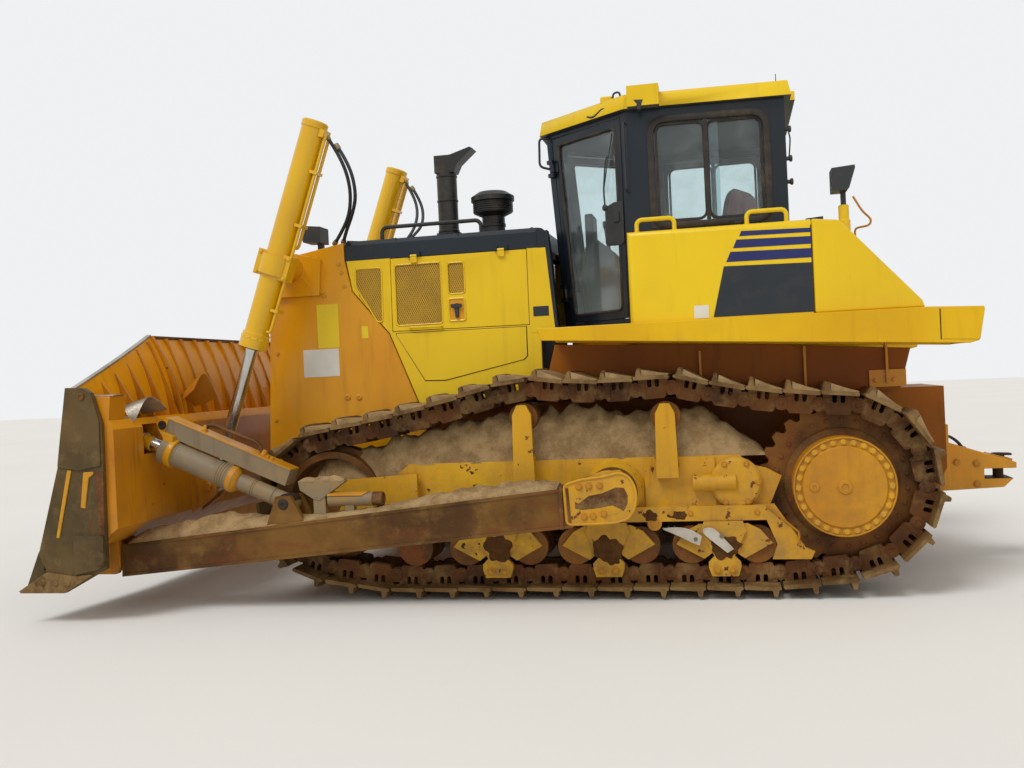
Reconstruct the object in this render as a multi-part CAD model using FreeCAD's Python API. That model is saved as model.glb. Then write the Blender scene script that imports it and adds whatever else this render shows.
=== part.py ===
"""Crawler bulldozer: tractor, push arms, blade, lift and tilt cylinders.

Millimetres. X runs to the rear, the machine's left side is -Y, Z is up from the grouser tips.
The model is drawn from the sprocket axis, then moved so that its box is centred on X = 0.
"""
import FreeCAD, Part
import math
import os

V = FreeCAD.Vector

# Running gear
track_gauge = 2140.0
shoe_width = 560.0
link_pitch = 228.6
link_count = 42
pin_height = 147.0
rail_height = 63.0
link_foot = 65.0
shoe_plate = 22.0
grouser_height = 60.0
link_inner = 90.0
link_outer = 150.0
window_near = 10.0
window_far = 38.0
window_top = 14.0
sprocket_teeth = 27
sprocket_z = 689.0
sprocket_half_width = 62.0
idler_z = 640.0
idler_pin_radius = 432.0
roller_radius = 119.7
roller_half_width = 158.0
roller_xs = (-2403.0, -1980.0, -1673.0, -1251.0, -935.0, -528.0)
front_roller_x = -2760.0
end_lead = 160.0
carrier_radius = 94.7
carriers = ((-1063.0, 1151.0), (-1987.0, 1176.0))
carrier_slack = 30.0
track_sag = 34.0
frame_low = 482.0
frame_high = 890.0
flange_height = 94.0
flange_depth = 62.0
guard_gap = 6.0
guard_plate = 28.0
neck_plate = 49.0
hub_radius = 300.0
track_y = track_gauge / 2.0
shoe_inner_y = track_y - shoe_width / 2.0
shoe_outer_y = track_y + shoe_width / 2.0
frame_inner_y = track_y - 120.0
frame_outer_y = track_y + 125.0
hub_face_y = shoe_outer_y + 30.0
drive_joint_y = shoe_inner_y - 30.0

# Hull and sheet work
ground_clearance = 500.0
hull_top = 1250.0
deck_half_width = shoe_inner_y - 30.0
sheet = 12.0
seam = 5.0
hood_half_width = shoe_inner_y - 170.0
hull_half_width = hood_half_width - 190.0
hood_low = 2354.0
hood_high = 2501.0
hood_front = -3385.0
hood_rear = -1950.0
guard_front_low = -4061.0
guard_front_high = -3982.0
guard_low = 820.0
guard_top_front = 2390.0
guard_top_rear = 2491.0
guard_wall = 40.0
fender_outer_y = shoe_outer_y
fender_top = 1748.0
tank_outer_y = fender_outer_y - 50.0
tank_top = 2327.0
tank_front = -1251.0
tank_joint = -123.0
tank_rear = 516.0

# Cab
cab_low = 1770.0
cab_high = 3207.0
cab_rear = -220.0
cab_wall = 46.0
cab_side_y = deck_half_width + 78.0
tank_inner_y = cab_side_y + 20.0
cab_rear_y = cab_side_y - 38.0
rear_window_y = cab_rear_y - 190.0
screen_low_y = cab_side_y - 538.0
screen_high_y = cab_side_y - 603.0
pillar_x = -1259.0
nose_low_x = -1800.0
nose_high_x = -1900.0
nose_slope = 0.85
roof_rim = 100.0
roof_overhang = 45.0
glass = 8.0
door_gap = 6.0
door_frame = 52.0
door_skin = 34.0
hinge_offset = 24.0
hinge_pin_radius = 9.0

# Blade and its gear
arm_inner_y = shoe_outer_y + 70.0
arm_outer_y = arm_inner_y + 220.0
tilt_y = (arm_inner_y + arm_outer_y) / 2.0
lift_y = hood_half_width + 310.0
blade_half_width = arm_outer_y + 390.0
blade_low = 200.0
blade_high = 1870.0
blade_end_high = 1500.0
blade_fold_y = lift_y + 70.0
wing_sweep = 130.0
blade_plate = 25.0
end_plate = 30.0
end_boss = 30.0
plate_inner_y = blade_half_width - end_boss - end_plate
wing_width = plate_inner_y - blade_fold_y
blade_flats = 12
blade_arc = ((-4900.0, 330.0), (-4610.0, 1060.0), (-4800.0, 1870.0))
box_rear_x = -4490.0
box_top = 1290.0
trunnion = (-1403.0, 692.0)
blade_pin = (-4760.0, 345.0)
blade_pin_radius = 40.0
tilt_foot = (-3515.0, 690.0)
tilt_eye = (-4578.0, 1150.0)
tilt_barrel_radius = 82.0
tilt_rod_radius = 45.0
lift_trunnion = (-3800.0, 2322.0)
lift_eye = (-4360.0, 760.0)
lift_barrel_radius = 88.0
lift_rod_radius = 43.0
lift_barrel_up = 1056.0
lift_barrel_down = 613.0
lift_pin_radius = 32.0
tilt_pin_radius = 26.0
lift_rod_inside = 600.0
run_clearance = 0.05
tilt_play = 7.0
tube_sides = 10

blade_nose = -5190.0
hitch_rear = 1271.0
origin_x = (blade_nose + hitch_rear) / 2.0


def face_xz(points, y=0.0):
    """Polygon face in a plane of constant Y from (x, z) points."""
    corners = [V(x, y, z) for x, z in points]
    return Part.Face(Part.makePolygon(corners + corners[:1]))


def prism_y(points, y0, y1):
    return face_xz(points, y0).extrude(V(0, y1 - y0, 0))


def prism_x(points, x0, x1):
    corners = [V(x0, y, z) for y, z in points]
    return Part.Face(Part.makePolygon(corners + corners[:1])).extrude(V(x1 - x0, 0, 0))


def prism_z(points, z0, z1):
    corners = [V(x, y, z0) for x, y in points]
    return Part.Face(Part.makePolygon(corners + corners[:1])).extrude(V(0, 0, z1 - z0))


def box(x0, x1, y0, y1, z0, z1):
    return Part.makeBox(x1 - x0, y1 - y0, z1 - z0, V(x0, y0, z0))


def rod(start, end, radius):
    axis = end - start
    return Part.makeCylinder(radius, axis.Length, start, axis)


def pin_y(x, z, y0, y1, radius):
    return Part.makeCylinder(radius, y1 - y0, V(x, y0, z), V(0, 1, 0))


def spun_y(x, z, profile):
    """Solid of revolution about a Y axis through (x, z) from (radius, y) points."""
    corners = [V(x + r, y, z) for r, y in profile]
    face = Part.Face(Part.makePolygon(corners + corners[:1]))
    return face.revolve(V(x, 0, z), V(0, 1, 0), 360)


def spun_z(x, y, profile):
    corners = [V(x + r, y, z) for r, z in profile]
    face = Part.Face(Part.makePolygon(corners + corners[:1]))
    return face.revolve(V(x, y, 0), V(0, 0, 1), 360)


def join(shapes):
    whole = shapes[0]
    if len(shapes) > 1:
        whole = shapes[0].multiFuse(shapes[1:])
    return whole.removeSplitter()


def group(shapes):
    return Part.makeCompound(shapes)


def mirrored(shape):
    return shape.mirror(V(0, 0, 0), V(0, 1, 0))


def ring(centre, way, radius):
    """Closed polygon round a point, square to a direction."""
    across = way.cross(V(0, 1, 0) if abs(way.y) < 0.9 else V(0, 0, 1)).normalize()
    up = way.cross(across)
    corners = []
    for side in range(tube_sides):
        angle = 2.0 * math.pi * side / tube_sides
        corners.append(centre + across * (radius * math.cos(angle)) + up * (radius * math.sin(angle)))
    return Part.makePolygon(corners + corners[:1])


def bent_tube(name, points, radius, share=0.45):
    """Many-sided tube along straight runs joined by tangent arcs; prints the arcs' radii."""
    points = [V(*p) for p in points]
    last = points[0]
    section = ring(last, (points[1] - last).normalize(), radius)
    bends, pieces = [], []
    for before, corner, after in zip(points, points[1:], points[2:]):
        along = (corner - before).normalize()
        away = (after - corner).normalize()
        turn = along.getAngle(away)
        reach = share * min((corner - before).Length, (after - corner).Length)
        start = corner - along * reach
        bend = reach / math.tan(turn / 2.0)
        bends.append(round(bend))
        pieces.append(Part.Face(section).extrude(start - last))
        section.translate(start - last)
        axis = along.cross(away).normalize()
        centre = start + axis.cross(along) * bend
        pieces.append(Part.Face(section).revolve(centre, axis, math.degrees(turn)))
        section.rotate(centre, axis, math.degrees(turn))
        last = corner + away * reach
    pieces.append(Part.Face(section).extrude(points[-1] - last))
    print(name, "bend radii", bends)
    return join(pieces)


def belt(circles):
    """Spans of a belt round the circles: (start angle, end angle, circle, start, end)."""
    spans = []
    normals = []
    for (x0, z0, r0), (x1, z1, r1) in zip(circles, circles[1:] + circles[:1]):
        reach = math.hypot(x1 - x0, z1 - z0)
        normals.append(math.atan2(z1 - z0, x1 - x0) - math.acos((r0 - r1) / reach))
    for index, circle in enumerate(circles):
        x, z, r = circle
        first = normals[index - 1]
        turn = (normals[index] - first) % (2.0 * math.pi)
        spans.append(("arc", r * turn, circle, first))
        nx, nz, nr = circles[(index + 1) % len(circles)]
        normal = (math.cos(normals[index]), math.sin(normals[index]))
        start = (x + r * normal[0], z + r * normal[1])
        end = (nx + nr * normal[0], nz + nr * normal[1])
        spans.append(("run", math.hypot(end[0] - start[0], end[1] - start[1]), start, end))
    return spans


def belt_length(spans):
    return sum(span[1] for span in spans)


def chain_pins(spans):
    """Pin centres one pitch apart round the loop, and how far round the last one lies."""
    distance = 0.0
    pins = [belt_point(spans, 0.0)]
    total = belt_length(spans)
    for _ in range(link_count):
        low, high = distance, distance + link_pitch * 1.2
        for _ in range(26):
            middle = (low + high) / 2.0
            x, z = belt_point(spans, middle % total)
            if math.hypot(x - pins[-1][0], z - pins[-1][1]) < link_pitch:
                low = middle
            else:
                high = middle
        distance = high
        pins.append(belt_point(spans, distance % total))
    return pins, distance - total


def belt_point(spans, distance):
    for kind, length, first, second in spans:
        if distance <= length:
            break
        distance -= length
    if kind == "arc":
        x, z, r = first
        angle = second + distance / r
        return x + r * math.cos(angle), z + r * math.sin(angle)
    share = distance / length
    x = first[0] + share * (second[0] - first[0])
    z = first[1] + share * (second[1] - first[1])
    if min(first[1], second[1]) > sprocket_z:
        z -= track_sag * 4.0 * share * (1.0 - share)
    return x, z


sprocket_radius = link_pitch / (2.0 * math.sin(2.0 * math.pi / sprocket_teeth))
roller_z = pin_height + rail_height + 0.3 + roller_radius

def track_circles(idler_x):
    sprocket = (0.0, sprocket_z, sprocket_radius)
    tops = [(x, z, carrier_radius + rail_height + carrier_slack) for x, z in carriers]
    idler = (idler_x, idler_z, idler_pin_radius)
    reach = roller_z - pin_height
    lows = [(x, roller_z, reach) for x in (front_roller_x - end_lead, roller_xs[-1] + end_lead)]
    return [sprocket] + tops + [idler] + lows


def adjusted_idler_x():
    """The idler slides until the loop takes a whole number of links."""
    near, far = front_roller_x - 150.0, front_roller_x - 900.0
    for _ in range(26):
        middle = (near + far) / 2.0
        if chain_pins(belt(track_circles(middle)))[1] > 0.0:
            near = middle
        else:
            far = middle
    return (near + far) / 2.0


idler_x = adjusted_idler_x()


def track_loop():
    """Shoes with their grouser and two rail links each, with open nut windows, laid round the loop."""
    pins, _ = chain_pins(belt(track_circles(idler_x)))
    seat = link_foot
    back = seat + shoe_plate
    tip = back + grouser_height
    shoe = ((-108.0, seat), (112.0, seat), (112.0, back), (98.0, back), (88.0, tip),
            (70.0, tip), (62.0, back), (-108.0, back))
    end = link_pitch / 2.0 - 0.4
    foot = seat - 0.3
    link = ((-end + 16.0, -rail_height), (end - 16.0, -rail_height), (end, 0.0), (end, foot),
            (window_far, foot), (window_far, window_top), (window_near, window_top), (window_near, foot),
            (-window_near, foot), (-window_near, window_top), (-window_far, window_top), (-window_far, foot),
            (-end, foot), (-end, 0.0))
    solids = []
    for (x0, z0), (x1, z1) in zip(pins, pins[1:]):
        length = math.hypot(x1 - x0, z1 - z0)
        ux, uz = (x1 - x0) / length, (z1 - z0) / length
        wx, wz = uz, -ux
        mx, mz = (x0 + x1) / 2.0, (z0 + z1) / 2.0

        def laid(profile):
            return [(mx + u * ux + w * wx, mz + u * uz + w * wz) for u, w in profile]

        half = shoe_width / 2.0
        solids.append(prism_y(laid(shoe), track_y - half, track_y + half))
        for low, high in ((-link_outer, -link_inner), (link_inner, link_outer)):
            solids.append(prism_y(laid(link), track_y + low, track_y + high))
    return group(solids)


def sprocket_and_hub():
    tip = sprocket_radius + 8.0
    root = sprocket_radius - 34.0
    outline = []
    for tooth in range(sprocket_teeth):
        for share, radius in ((0.0, root), (0.22, root), (0.42, tip), (0.8, tip)):
            angle = 2.0 * math.pi * (tooth + share) / sprocket_teeth
            outline.append((radius * math.cos(angle), sprocket_z + radius * math.sin(angle)))
    ring = prism_y(outline, track_y - sprocket_half_width, track_y + sprocket_half_width)
    hub = spun_y(0.0, sprocket_z, ((0.0, drive_joint_y), (235.0, drive_joint_y),
                                   (235.0, track_y - 80.0), (345.0, track_y - 80.0),
                                   (345.0, track_y + 80.0), (hub_radius, track_y + 95.0),
                                   (hub_radius, hub_face_y - 60.0), (265.0, hub_face_y - 22.0),
                                   (205.0, hub_face_y - 22.0), (190.0, hub_face_y),
                                   (0.0, hub_face_y)))
    return join([ring, hub])


def idler():
    inner = link_outer + 4.0
    tread = math.sqrt(idler_pin_radius ** 2 - (link_pitch / 2.0) ** 2) - rail_height - 0.3
    return spun_y(idler_x, idler_z, ((0.0, track_y - 190.0), (70.0, track_y - 190.0),
                                     (70.0, track_y - 60.0), (tread - 60.0, track_y - 30.0),
                                     (tread - 45.0, track_y - inner), (tread, track_y - inner),
                                     (tread, track_y - 70.0), (tread + 34.0, track_y - 58.0),
                                     (tread + 34.0, track_y + 58.0), (tread, track_y + 70.0),
                                     (tread, track_y + inner), (tread - 45.0, track_y + inner),
                                     (tread - 60.0, track_y + 30.0), (70.0, track_y + 60.0),
                                     (70.0, track_y + 190.0), (0.0, track_y + 190.0)))


def track_frame():
    nose_x = idler_x + idler_pin_radius + 20.0
    tail_x = -sprocket_radius - 45.0
    beam = prism_y(((nose_x, frame_low), (tail_x, frame_low), (tail_x, frame_high - 60.0),
                    (tail_x - 80.0, frame_high), (nose_x + 90.0, frame_high),
                    (nose_x, frame_high - 70.0)), frame_inner_y, frame_outer_y)
    cheek_in, cheek_out = link_outer + 10.0, link_outer + 42.0
    parts = [beam, box(nose_x, nose_x + 150.0, track_y - cheek_out, track_y + cheek_out, 540.0, 800.0)]
    for low, high in ((-cheek_out, -cheek_in), (cheek_in, cheek_out)):
        cheek = prism_y(((idler_x - 130.0, idler_z - 110.0), (nose_x + 160.0, 530.0),
                         (nose_x + 160.0, frame_high - 60.0), (idler_x - 130.0, idler_z + 150.0)),
                        track_y + low, track_y + high)
        parts.append(cheek.cut(pin_y(idler_x, idler_z, track_y + low - 5.0, track_y + high + 5.0, 70.05)))
    tail = prism_y(((tail_x - 30.0, frame_low + 60.0), (-hub_radius - 150.0, frame_low + 60.0),
                    (-hub_radius - 60.0, sprocket_z + 60.0), (-hub_radius - 150.0, frame_high - 90.0),
                    (tail_x - 30.0, frame_high - 60.0)), frame_outer_y - 30.0, frame_outer_y)
    parts.append(tail)
    parts += frame_guards(nose_x + 150.0, tail_x + 130.0)
    for x, z in carriers:
        post_y = track_y + link_outer + 24.0
        post = prism_y(((x - 70.0, frame_high - 130.0), (x + 70.0, frame_high - 130.0),
                        (x + 62.0, z + 20.0), (x + 30.0, z + 82.0), (x - 30.0, z + 82.0),
                        (x - 62.0, z + 20.0)), frame_outer_y, post_y + 34.0)
        inside = box(x - 90.0, x + 90.0, frame_outer_y - 5.0, post_y, frame_high + 40.0, z + 140.0)
        parts.append(post.cut(inside))
    x, z = trunnion
    parts.append(pin_y(x, z, frame_outer_y, arm_outer_y - 30.0, 78.0))
    collar = spun_y(x, z, ((78.0, frame_outer_y), (190.0, frame_outer_y), (150.0, arm_inner_y - 90.0),
                          (78.0, arm_inner_y - 90.0)))
    parts.append(collar)
    return join(parts)


def frame_guards(front, back):
    """Lower flange over the bogies, wear plate, adjuster cover and the plate before the sprocket."""
    outer = frame_outer_y + flange_depth
    top = frame_low + flange_height
    flange = box(front, back, frame_outer_y - 5.0, outer, frame_low, top)
    x = carriers[0][0]
    wear = box(x - 150.0, x + 295.0, frame_outer_y - 1.0, frame_outer_y + 14.0, top, frame_high - 4.0)
    cover_x, cover_z = x + 422.0, (frame_low + frame_high) / 2.0 + 30.0
    cover = spun_y(cover_x, cover_z, ((0.0, frame_outer_y - 1.0), (160.0, frame_outer_y - 1.0),
                                      (160.0, frame_outer_y + 34.0), (140.0, frame_outer_y + 50.0),
                                      (0.0, frame_outer_y + 50.0)))
    start = V(cover_x - 265.0, frame_outer_y + 34.0, cover_z + 5.0)
    barrel = Part.makeCylinder(54.0, 265.0, start, V(1, 0, 0))
    shin = prism_y(((back - 55.0, top), (back, top), (back + 174.0, frame_low - 175.0),
                    (back + 230.0, frame_low - 200.0), (back + 205.0, frame_low - 248.0),
                    (back - 28.0, frame_low - 246.0), (back + 6.0, frame_low - 154.0),
                    (back - 55.0, frame_low)), track_y + roller_half_width + guard_gap, outer)
    return [flange, wear, cover, barrel, shin]


def bogie_guards(middle):
    """Side plates of a bogie: a wing over each roller's end and a neck with its stone guard."""
    near = track_y + link_outer + guard_gap
    wings = ((-150.0, 132.0), (150.0, 132.0), (225.0, 93.0), (298.0, 7.0), (125.0, -87.0), (60.0, -40.0),
             (-60.0, -40.0), (-125.0, -87.0), (-298.0, 7.0), (-225.0, 93.0))
    neck = ((-140.0, 90.0), (-62.0, -68.0), (-100.0, -108.0), (-100.0, -140.0), (-82.0, -195.0),
            (82.0, -195.0), (100.0, -140.0), (100.0, -108.0), (62.0, -68.0), (140.0, 90.0))
    seat = frame_low - 0.3
    plates = []
    for outline, depth in ((wings, guard_plate), (neck, neck_plate)):
        points = [(middle + x, roller_z + z) for x, z in outline]
        if outline is neck:
            points += [(middle + 120.0, seat), (middle - 120.0, seat)]
        plates.append(prism_y(points, near, near + depth))
        plates.append(prism_y(points, 2.0 * track_y - near - depth, 2.0 * track_y - near))
    return plates


def rollers():
    """Track rollers on their bogies and the two carrier rollers, each one solid."""
    solids = []
    half = roller_half_width
    wheel = ((0.0, -half), (roller_radius, -half), (roller_radius, -80.0), (96.0, -64.0),
             (96.0, 64.0), (roller_radius, 80.0), (roller_radius, half), (0.0, half))
    shifted = [(r, track_y + y) for r, y in wheel]
    for front, back in zip(roller_xs[0::2], roller_xs[1::2]):
        wheels = [spun_y(x, roller_z, shifted) for x in (front, back)]
        solids.append(join(wheels + bogie_guards((front + back) / 2.0)))
    solids.append(spun_y(front_roller_x, roller_z, shifted))
    for x, z in carriers:
        post_y = track_y + link_outer + 24.0
        wheel = ((0.0, track_y - half), (carrier_radius, track_y - half),
                 (carrier_radius, track_y + half - 10.0), (48.0, track_y + half - 10.0),
                 (48.0, post_y - 0.3), (0.0, post_y - 0.3))
        solids.append(spun_y(x, z, wheel))
    return group(solids)


def main_frame():
    """Hull between the tracks, the deck frame under the cab and the final-drive necks."""
    nose, tail = guard_front_low + 500.0, 760.0
    hull = prism_y(((nose, 640.0), (nose + 260.0, ground_clearance + 20.0),
                    (tail - 100.0, ground_clearance), (tail, ground_clearance + 200.0),
                    (tail, hull_top), (nose, hull_top)), -hull_half_width, hull_half_width)
    deck = prism_y(((-1914.0, 1350.0), (159.0, 1251.0), (432.0, 1246.0), (505.0, 1515.0),
                    (-129.0, 1560.0), (-1831.0, 1655.0)), -deck_half_width, deck_half_width)
    neck = pin_y(0.0, sprocket_z, 0.3 - drive_joint_y, drive_joint_y - 0.3, 215.0)
    cross = pin_y(trunnion[0] + 900.0, 690.0, -frame_inner_y + 0.3, frame_inner_y - 0.3, 90.0)
    nose_y = cab_side_y - 508.0
    nose_x, tail_x = nose_low_x + 30.0, cab_rear - 10.0
    pad = prism_z(((nose_x, -nose_y), (pillar_x, -deck_half_width), (tail_x, -deck_half_width),
                   (tail_x, deck_half_width), (pillar_x, deck_half_width), (nose_x, nose_y)),
                  1500.0, cab_low - 0.3)
    return join([hull, deck, neck, cross, pad])


def fender(side):
    outline = ((-1849.0, fender_top), (tank_rear, fender_top), (836.0, fender_top - 14.0),
               (800.0, fender_top - 215.0), (745.0, 1520.0), (-129.0, 1566.0), (-1821.0, 1668.0))
    inner = ((-1835.0, fender_top - sheet), (tank_rear, fender_top - sheet),
             (820.0, fender_top - 14.0 - sheet),
             (745.0, 1500.0), (-129.0, 1500.0), (-1811.0, 1600.0))
    inner_y = deck_half_width + 0.3
    solid = prism_y(outline, inner_y, fender_outer_y)
    solid = solid.cut(prism_y(inner, inner_y + sheet, fender_outer_y - sheet))
    return solid if side > 0 else mirrored(solid)


def guard_top_z(x):
    share = (x - guard_front_high) / (-3398.0 - guard_front_high)
    return guard_top_front + share * (guard_top_rear - guard_top_front)


def radiator():
    half = hood_half_width - guard_wall - 40.0
    return box(-3880.0, -3780.0, -half, half, guard_low + 180.3, 2300.0)


def radiator_guard():
    top_front, top_rear = guard_top_front, guard_top_rear
    outline = ((guard_front_low, guard_low), (-2833.0, guard_low), (-2833.0, 1176.0),
               (-3077.0, 1801.0), (-3346.0, 2126.0), (-3395.0, 2360.0), (-3398.0, top_rear),
               (guard_front_high, top_front))
    outer = prism_y(outline, -hood_half_width, hood_half_width)
    wall = guard_wall
    cavity = prism_y(((guard_front_low - 60.0, guard_low + 180.0), (-2800.0, guard_low + 180.0),
                      (-2700.0, 1176.0), (-3000.0, 1900.0), (-3340.0, top_rear - 55.0),
                      (guard_front_high - 80.0, top_front - 60.0)),
                     -hood_half_width + wall, hood_half_width - wall)
    keel = box(guard_front_low + 498.0, -2700.0, -hull_half_width - 0.3, hull_half_width + 0.3,
               guard_low - 10.0, hull_top + 0.3)
    return outer.cut(cavity).cut(keel)


def front_grille():
    """Frame with level bars, set 30 mm back in the mouth of the guard."""
    slope = (guard_front_high - guard_front_low) / (guard_top_front - guard_low)
    inset = 26.0

    def front_x(z):
        return guard_front_low + (z - guard_low) * slope + inset

    low, high = guard_low + 180.3, guard_top_front - 68.0
    half = hood_half_width - guard_wall - 0.3
    bars = []
    for z in [low + (high - low - 26.0) * i / 11.0 for i in range(12)]:
        x = front_x(z)
        bars.append(prism_y(((x, z), (x + 40.0, z), (x + 40.0 + slope * 26.0, z + 26.0),
                             (x + slope * 26.0, z + 26.0)), -half + 30.0, half - 30.0))
    for y0, y1 in ((-half, -half + 30.0), (-15.0, 15.0), (half - 30.0, half)):
        bars.append(prism_y(((front_x(low), low), (front_x(low) + 44.0, low),
                             (front_x(high) + 44.0, high), (front_x(high), high)), y0, y1))
    return join(bars)


def hood_top():
    half, edge = hood_half_width, 34.0

    def section(d):
        return ((-half + d, hood_low), (-half + d, hood_high - edge), (-half + edge + d * 0.6, hood_high - d),
                (half - edge - d * 0.6, hood_high - d), (half - d, hood_high - edge), (half - d, hood_low))

    shell = prism_x(section(0.0), hood_front, hood_rear)
    shell = shell.cut(prism_x(section(16.0), hood_front + 16.0, hood_rear - 16.0))
    y, z = engine_hinge
    pins = []
    for x in engine_hinge_xs:
        pins.append(Part.makeCylinder(6.0, 100.0, V(x - 50.0, y, z), V(1, 0, 0)))
        for low, high in ((x - 50.0, x - 26.0), (x + 26.0, x + 50.0)):
            pins.append(box(low, high, half - 1.0, y + 6.0, z - 6.0, z + 30.0))
    return join([shell] + pins + [mirrored(pin) for pin in pins])


engine_hinge = (hood_half_width + 12.0, hood_low + 4.0)
engine_hinge_xs = (-2860.0, -2210.0)
engine_door_outline = ((-3045.0, 1820.0), (-2031.0, 1815.0), (-2029.0, hood_low - seam),
                       (-3039.0, hood_low - seam))


def grown(outline, amount):
    """A convex outline moved out by an amount, corner by corner."""
    points = list(outline)
    area = sum(a[0] * b[1] - b[0] * a[1] for a, b in zip(points, points[1:] + points[:1]))
    way = 1.0 if area > 0 else -1.0
    lines = []
    for a, b in zip(points, points[1:] + points[:1]):
        length = math.hypot(b[0] - a[0], b[1] - a[1])
        nx, ny = way * (b[1] - a[1]) / length, -way * (b[0] - a[0]) / length
        lines.append((nx, ny, nx * a[0] + ny * a[1] + amount))
    corners = []
    for (a1, b1, c1), (a2, b2, c2) in zip(lines[-1:] + lines[:-1], lines):
        det = a1 * b2 - a2 * b1
        corners.append(((c1 * b2 - c2 * b1) / det, (a1 * c2 - a2 * c1) / det))
    return corners


def hood_side(side):
    outline = ((-3380.0, hood_low - 0.3), (-3340.0, 2132.0), (-3070.0, 1806.0), (-2826.0, 1180.0),
               (-2826.0, hull_top + 0.3), (-1950.0, 1365.0), (hood_rear, hood_low - 0.3))
    panel = prism_y(outline, hood_half_width - 30.0, hood_half_width)
    hole = prism_y(grown(engine_door_outline, seam), hood_half_width - 60.0, hood_half_width + 10.0)
    shelf = prism_y(((-2820.0, hull_top + 0.3), (-1950.0, 1300.0), (-1950.0, 1365.0), (-2820.0, 1320.0)),
                    hull_half_width - 40.0, hood_half_width - 30.0)
    mesh = prism_y(((-3150.0, 2245.0), (-3122.0, 1880.0), (-3290.0, 2080.0), (-3318.0, 2245.0)),
                   hood_half_width - 8.0, hood_half_width + 10.0)
    solid = join([panel, shelf]).cut(hole).cut(mesh)
    return solid if side > 0 else mirrored(solid)


def engine_door(side):
    solid = prism_y(engine_door_outline, hood_half_width - 26.0, hood_half_width)
    for points in (((-3013.0, 1858.0), (-2664.0, 1858.0), (-2664.0, 2300.0), (-3013.0, 2300.0)),
                   ((-2613.0, 2065.0), (-2489.0, 2065.0), (-2489.0, 2290.0), (-2613.0, 2290.0))):
        solid = solid.cut(prism_y(points, hood_half_width - 8.0, hood_half_width + 5.0))
    y, z = engine_hinge
    for x in engine_hinge_xs:
        leaf = [box(x - 24.0, x + 24.0, hood_half_width + 1.0, y + 6.0, z - 50.0, z),
                box(x - 24.0, x + 24.0, hood_half_width - 2.0, y, z - 50.0, z - 16.0),
                Part.makeCylinder(10.0, 48.0, V(x - 24.0, y, z), V(1, 0, 0))]
        solid = join([solid] + leaf)
        solid = solid.cut(Part.makeCylinder(6.0 + run_clearance, 52.0, V(x - 26.0, y, z), V(1, 0, 0)))
    return solid if side > 0 else mirrored(solid)


def cab_plan(z, inset):
    """Six-sided plan of the cab at a height, moved in by an inset."""
    share = (z - cab_low) / (cab_high - cab_low)
    nose_x = nose_low_x + share * (nose_high_x - nose_low_x)
    nose_y = cab_side_y - (pillar_x - nose_x) * nose_slope
    plan = ((cab_rear, -cab_rear_y), (cab_rear, cab_rear_y), (pillar_x, cab_side_y),
            (nose_x, nose_y), (nose_x, -nose_y), (pillar_x, -cab_side_y))
    return grown(plan, -inset)


def cab_loft(z0, z1, inset):
    wires = []
    for z in (z0, z1):
        corners = [V(x, y, z) for x, y in cab_plan(z, inset)]
        wires.append(Part.makePolygon(corners + corners[:1]))
    return Part.makeLoft(wires, True, True)


def slab(corners, normal, back, front):
    """Plate on a plane polygon, from a depth behind it to a depth in front of it."""
    corners = [c - normal * back for c in corners]
    return Part.Face(Part.makePolygon(corners + corners[:1])).extrude(normal * (back + front))


def door_plane(low, high, edge):
    """Corners of the angled side of the cab (right side), inset by an edge, and its normal."""
    along = V(-1.0, -nose_slope, 0.0).normalize()
    normal = V(-nose_slope, 1.0, 0.0).normalize()
    rear = V(pillar_x, cab_side_y, 0.0)

    def front(z):
        share = (z - cab_low) / (cab_high - cab_low)
        return (pillar_x - nose_low_x - share * (nose_high_x - nose_low_x)) / -along.x - edge

    corners = []
    for z, reach in ((low, edge), (low, front(low)), (high, front(high)), (high, edge)):
        corners.append(rear + along * reach + V(0, 0, z))
    return corners, normal


door_low = cab_low + 42.0
door_high = cab_high - 38.0
door_edge = 62.0


def door_hinges():
    """Middles of the right cab door's two hinges, the hinge line's direction, along and normal."""
    corners, normal = door_plane(door_low, door_high, door_edge)
    foot, head = corners[1], corners[2]
    middles = [foot + (head - foot) * share + normal * hinge_offset for share in (0.16, 0.84)]
    return middles, (head - foot).normalize(), V(1.0, nose_slope, 0.0).normalize(), normal


def hinge_pins():
    """Pins and lugs on the cab's front pillar."""
    middles, way, rearward, normal = door_hinges()
    parts = []
    for middle in middles:
        parts.append(rod(middle - way * 62.0, middle + way * 62.0, hinge_pin_radius))
        for low, high in ((-64.0, -34.0), (34.0, 64.0)):
            base = middle - normal * hinge_offset
            corners = [base + way * low - rearward * 44.0, base + way * high - rearward * 44.0,
                       base + way * high - rearward * 8.0, base + way * low - rearward * 8.0]
            parts.append(slab(corners, normal, 2.0, 20.0))
            corners = [c + normal * 14.0 for c in corners[:2]] + [
                base + way * high + rearward * 13.0 + normal * 14.0,
                base + way * low + rearward * 13.0 + normal * 14.0]
            parts.append(slab(corners, normal, 0.0, 22.0))
    return parts


def hinge_leaves():
    middles, way, rearward, normal = door_hinges()
    parts, holes = [], []
    for middle in middles:
        parts.append(rod(middle - way * 30.0, middle + way * 30.0, hinge_pin_radius + 8.0))
        holes.append(rod(middle - way * 31.0, middle + way * 31.0, hinge_pin_radius + run_clearance))
        base = middle - normal * hinge_offset
        corners = [base + way * low + rearward * reach for low, reach in
                   ((-30.0, 2.0), (30.0, 2.0), (30.0, 46.0), (-30.0, 46.0))]
        parts.append(slab(corners, normal, 2.0, 14.0))
    return parts, holes


def side_window():
    return ((-1115.0, 2400.0), (-330.0, 2400.0), (-330.0, 3140.0), (-1115.0, 3140.0))


def rear_window(gap):
    y = rear_window_y - gap
    return ((-y, 2380.0 + gap), (y, 2380.0 + gap), (y, 3130.0 - gap), (-y, 3130.0 - gap))


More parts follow.
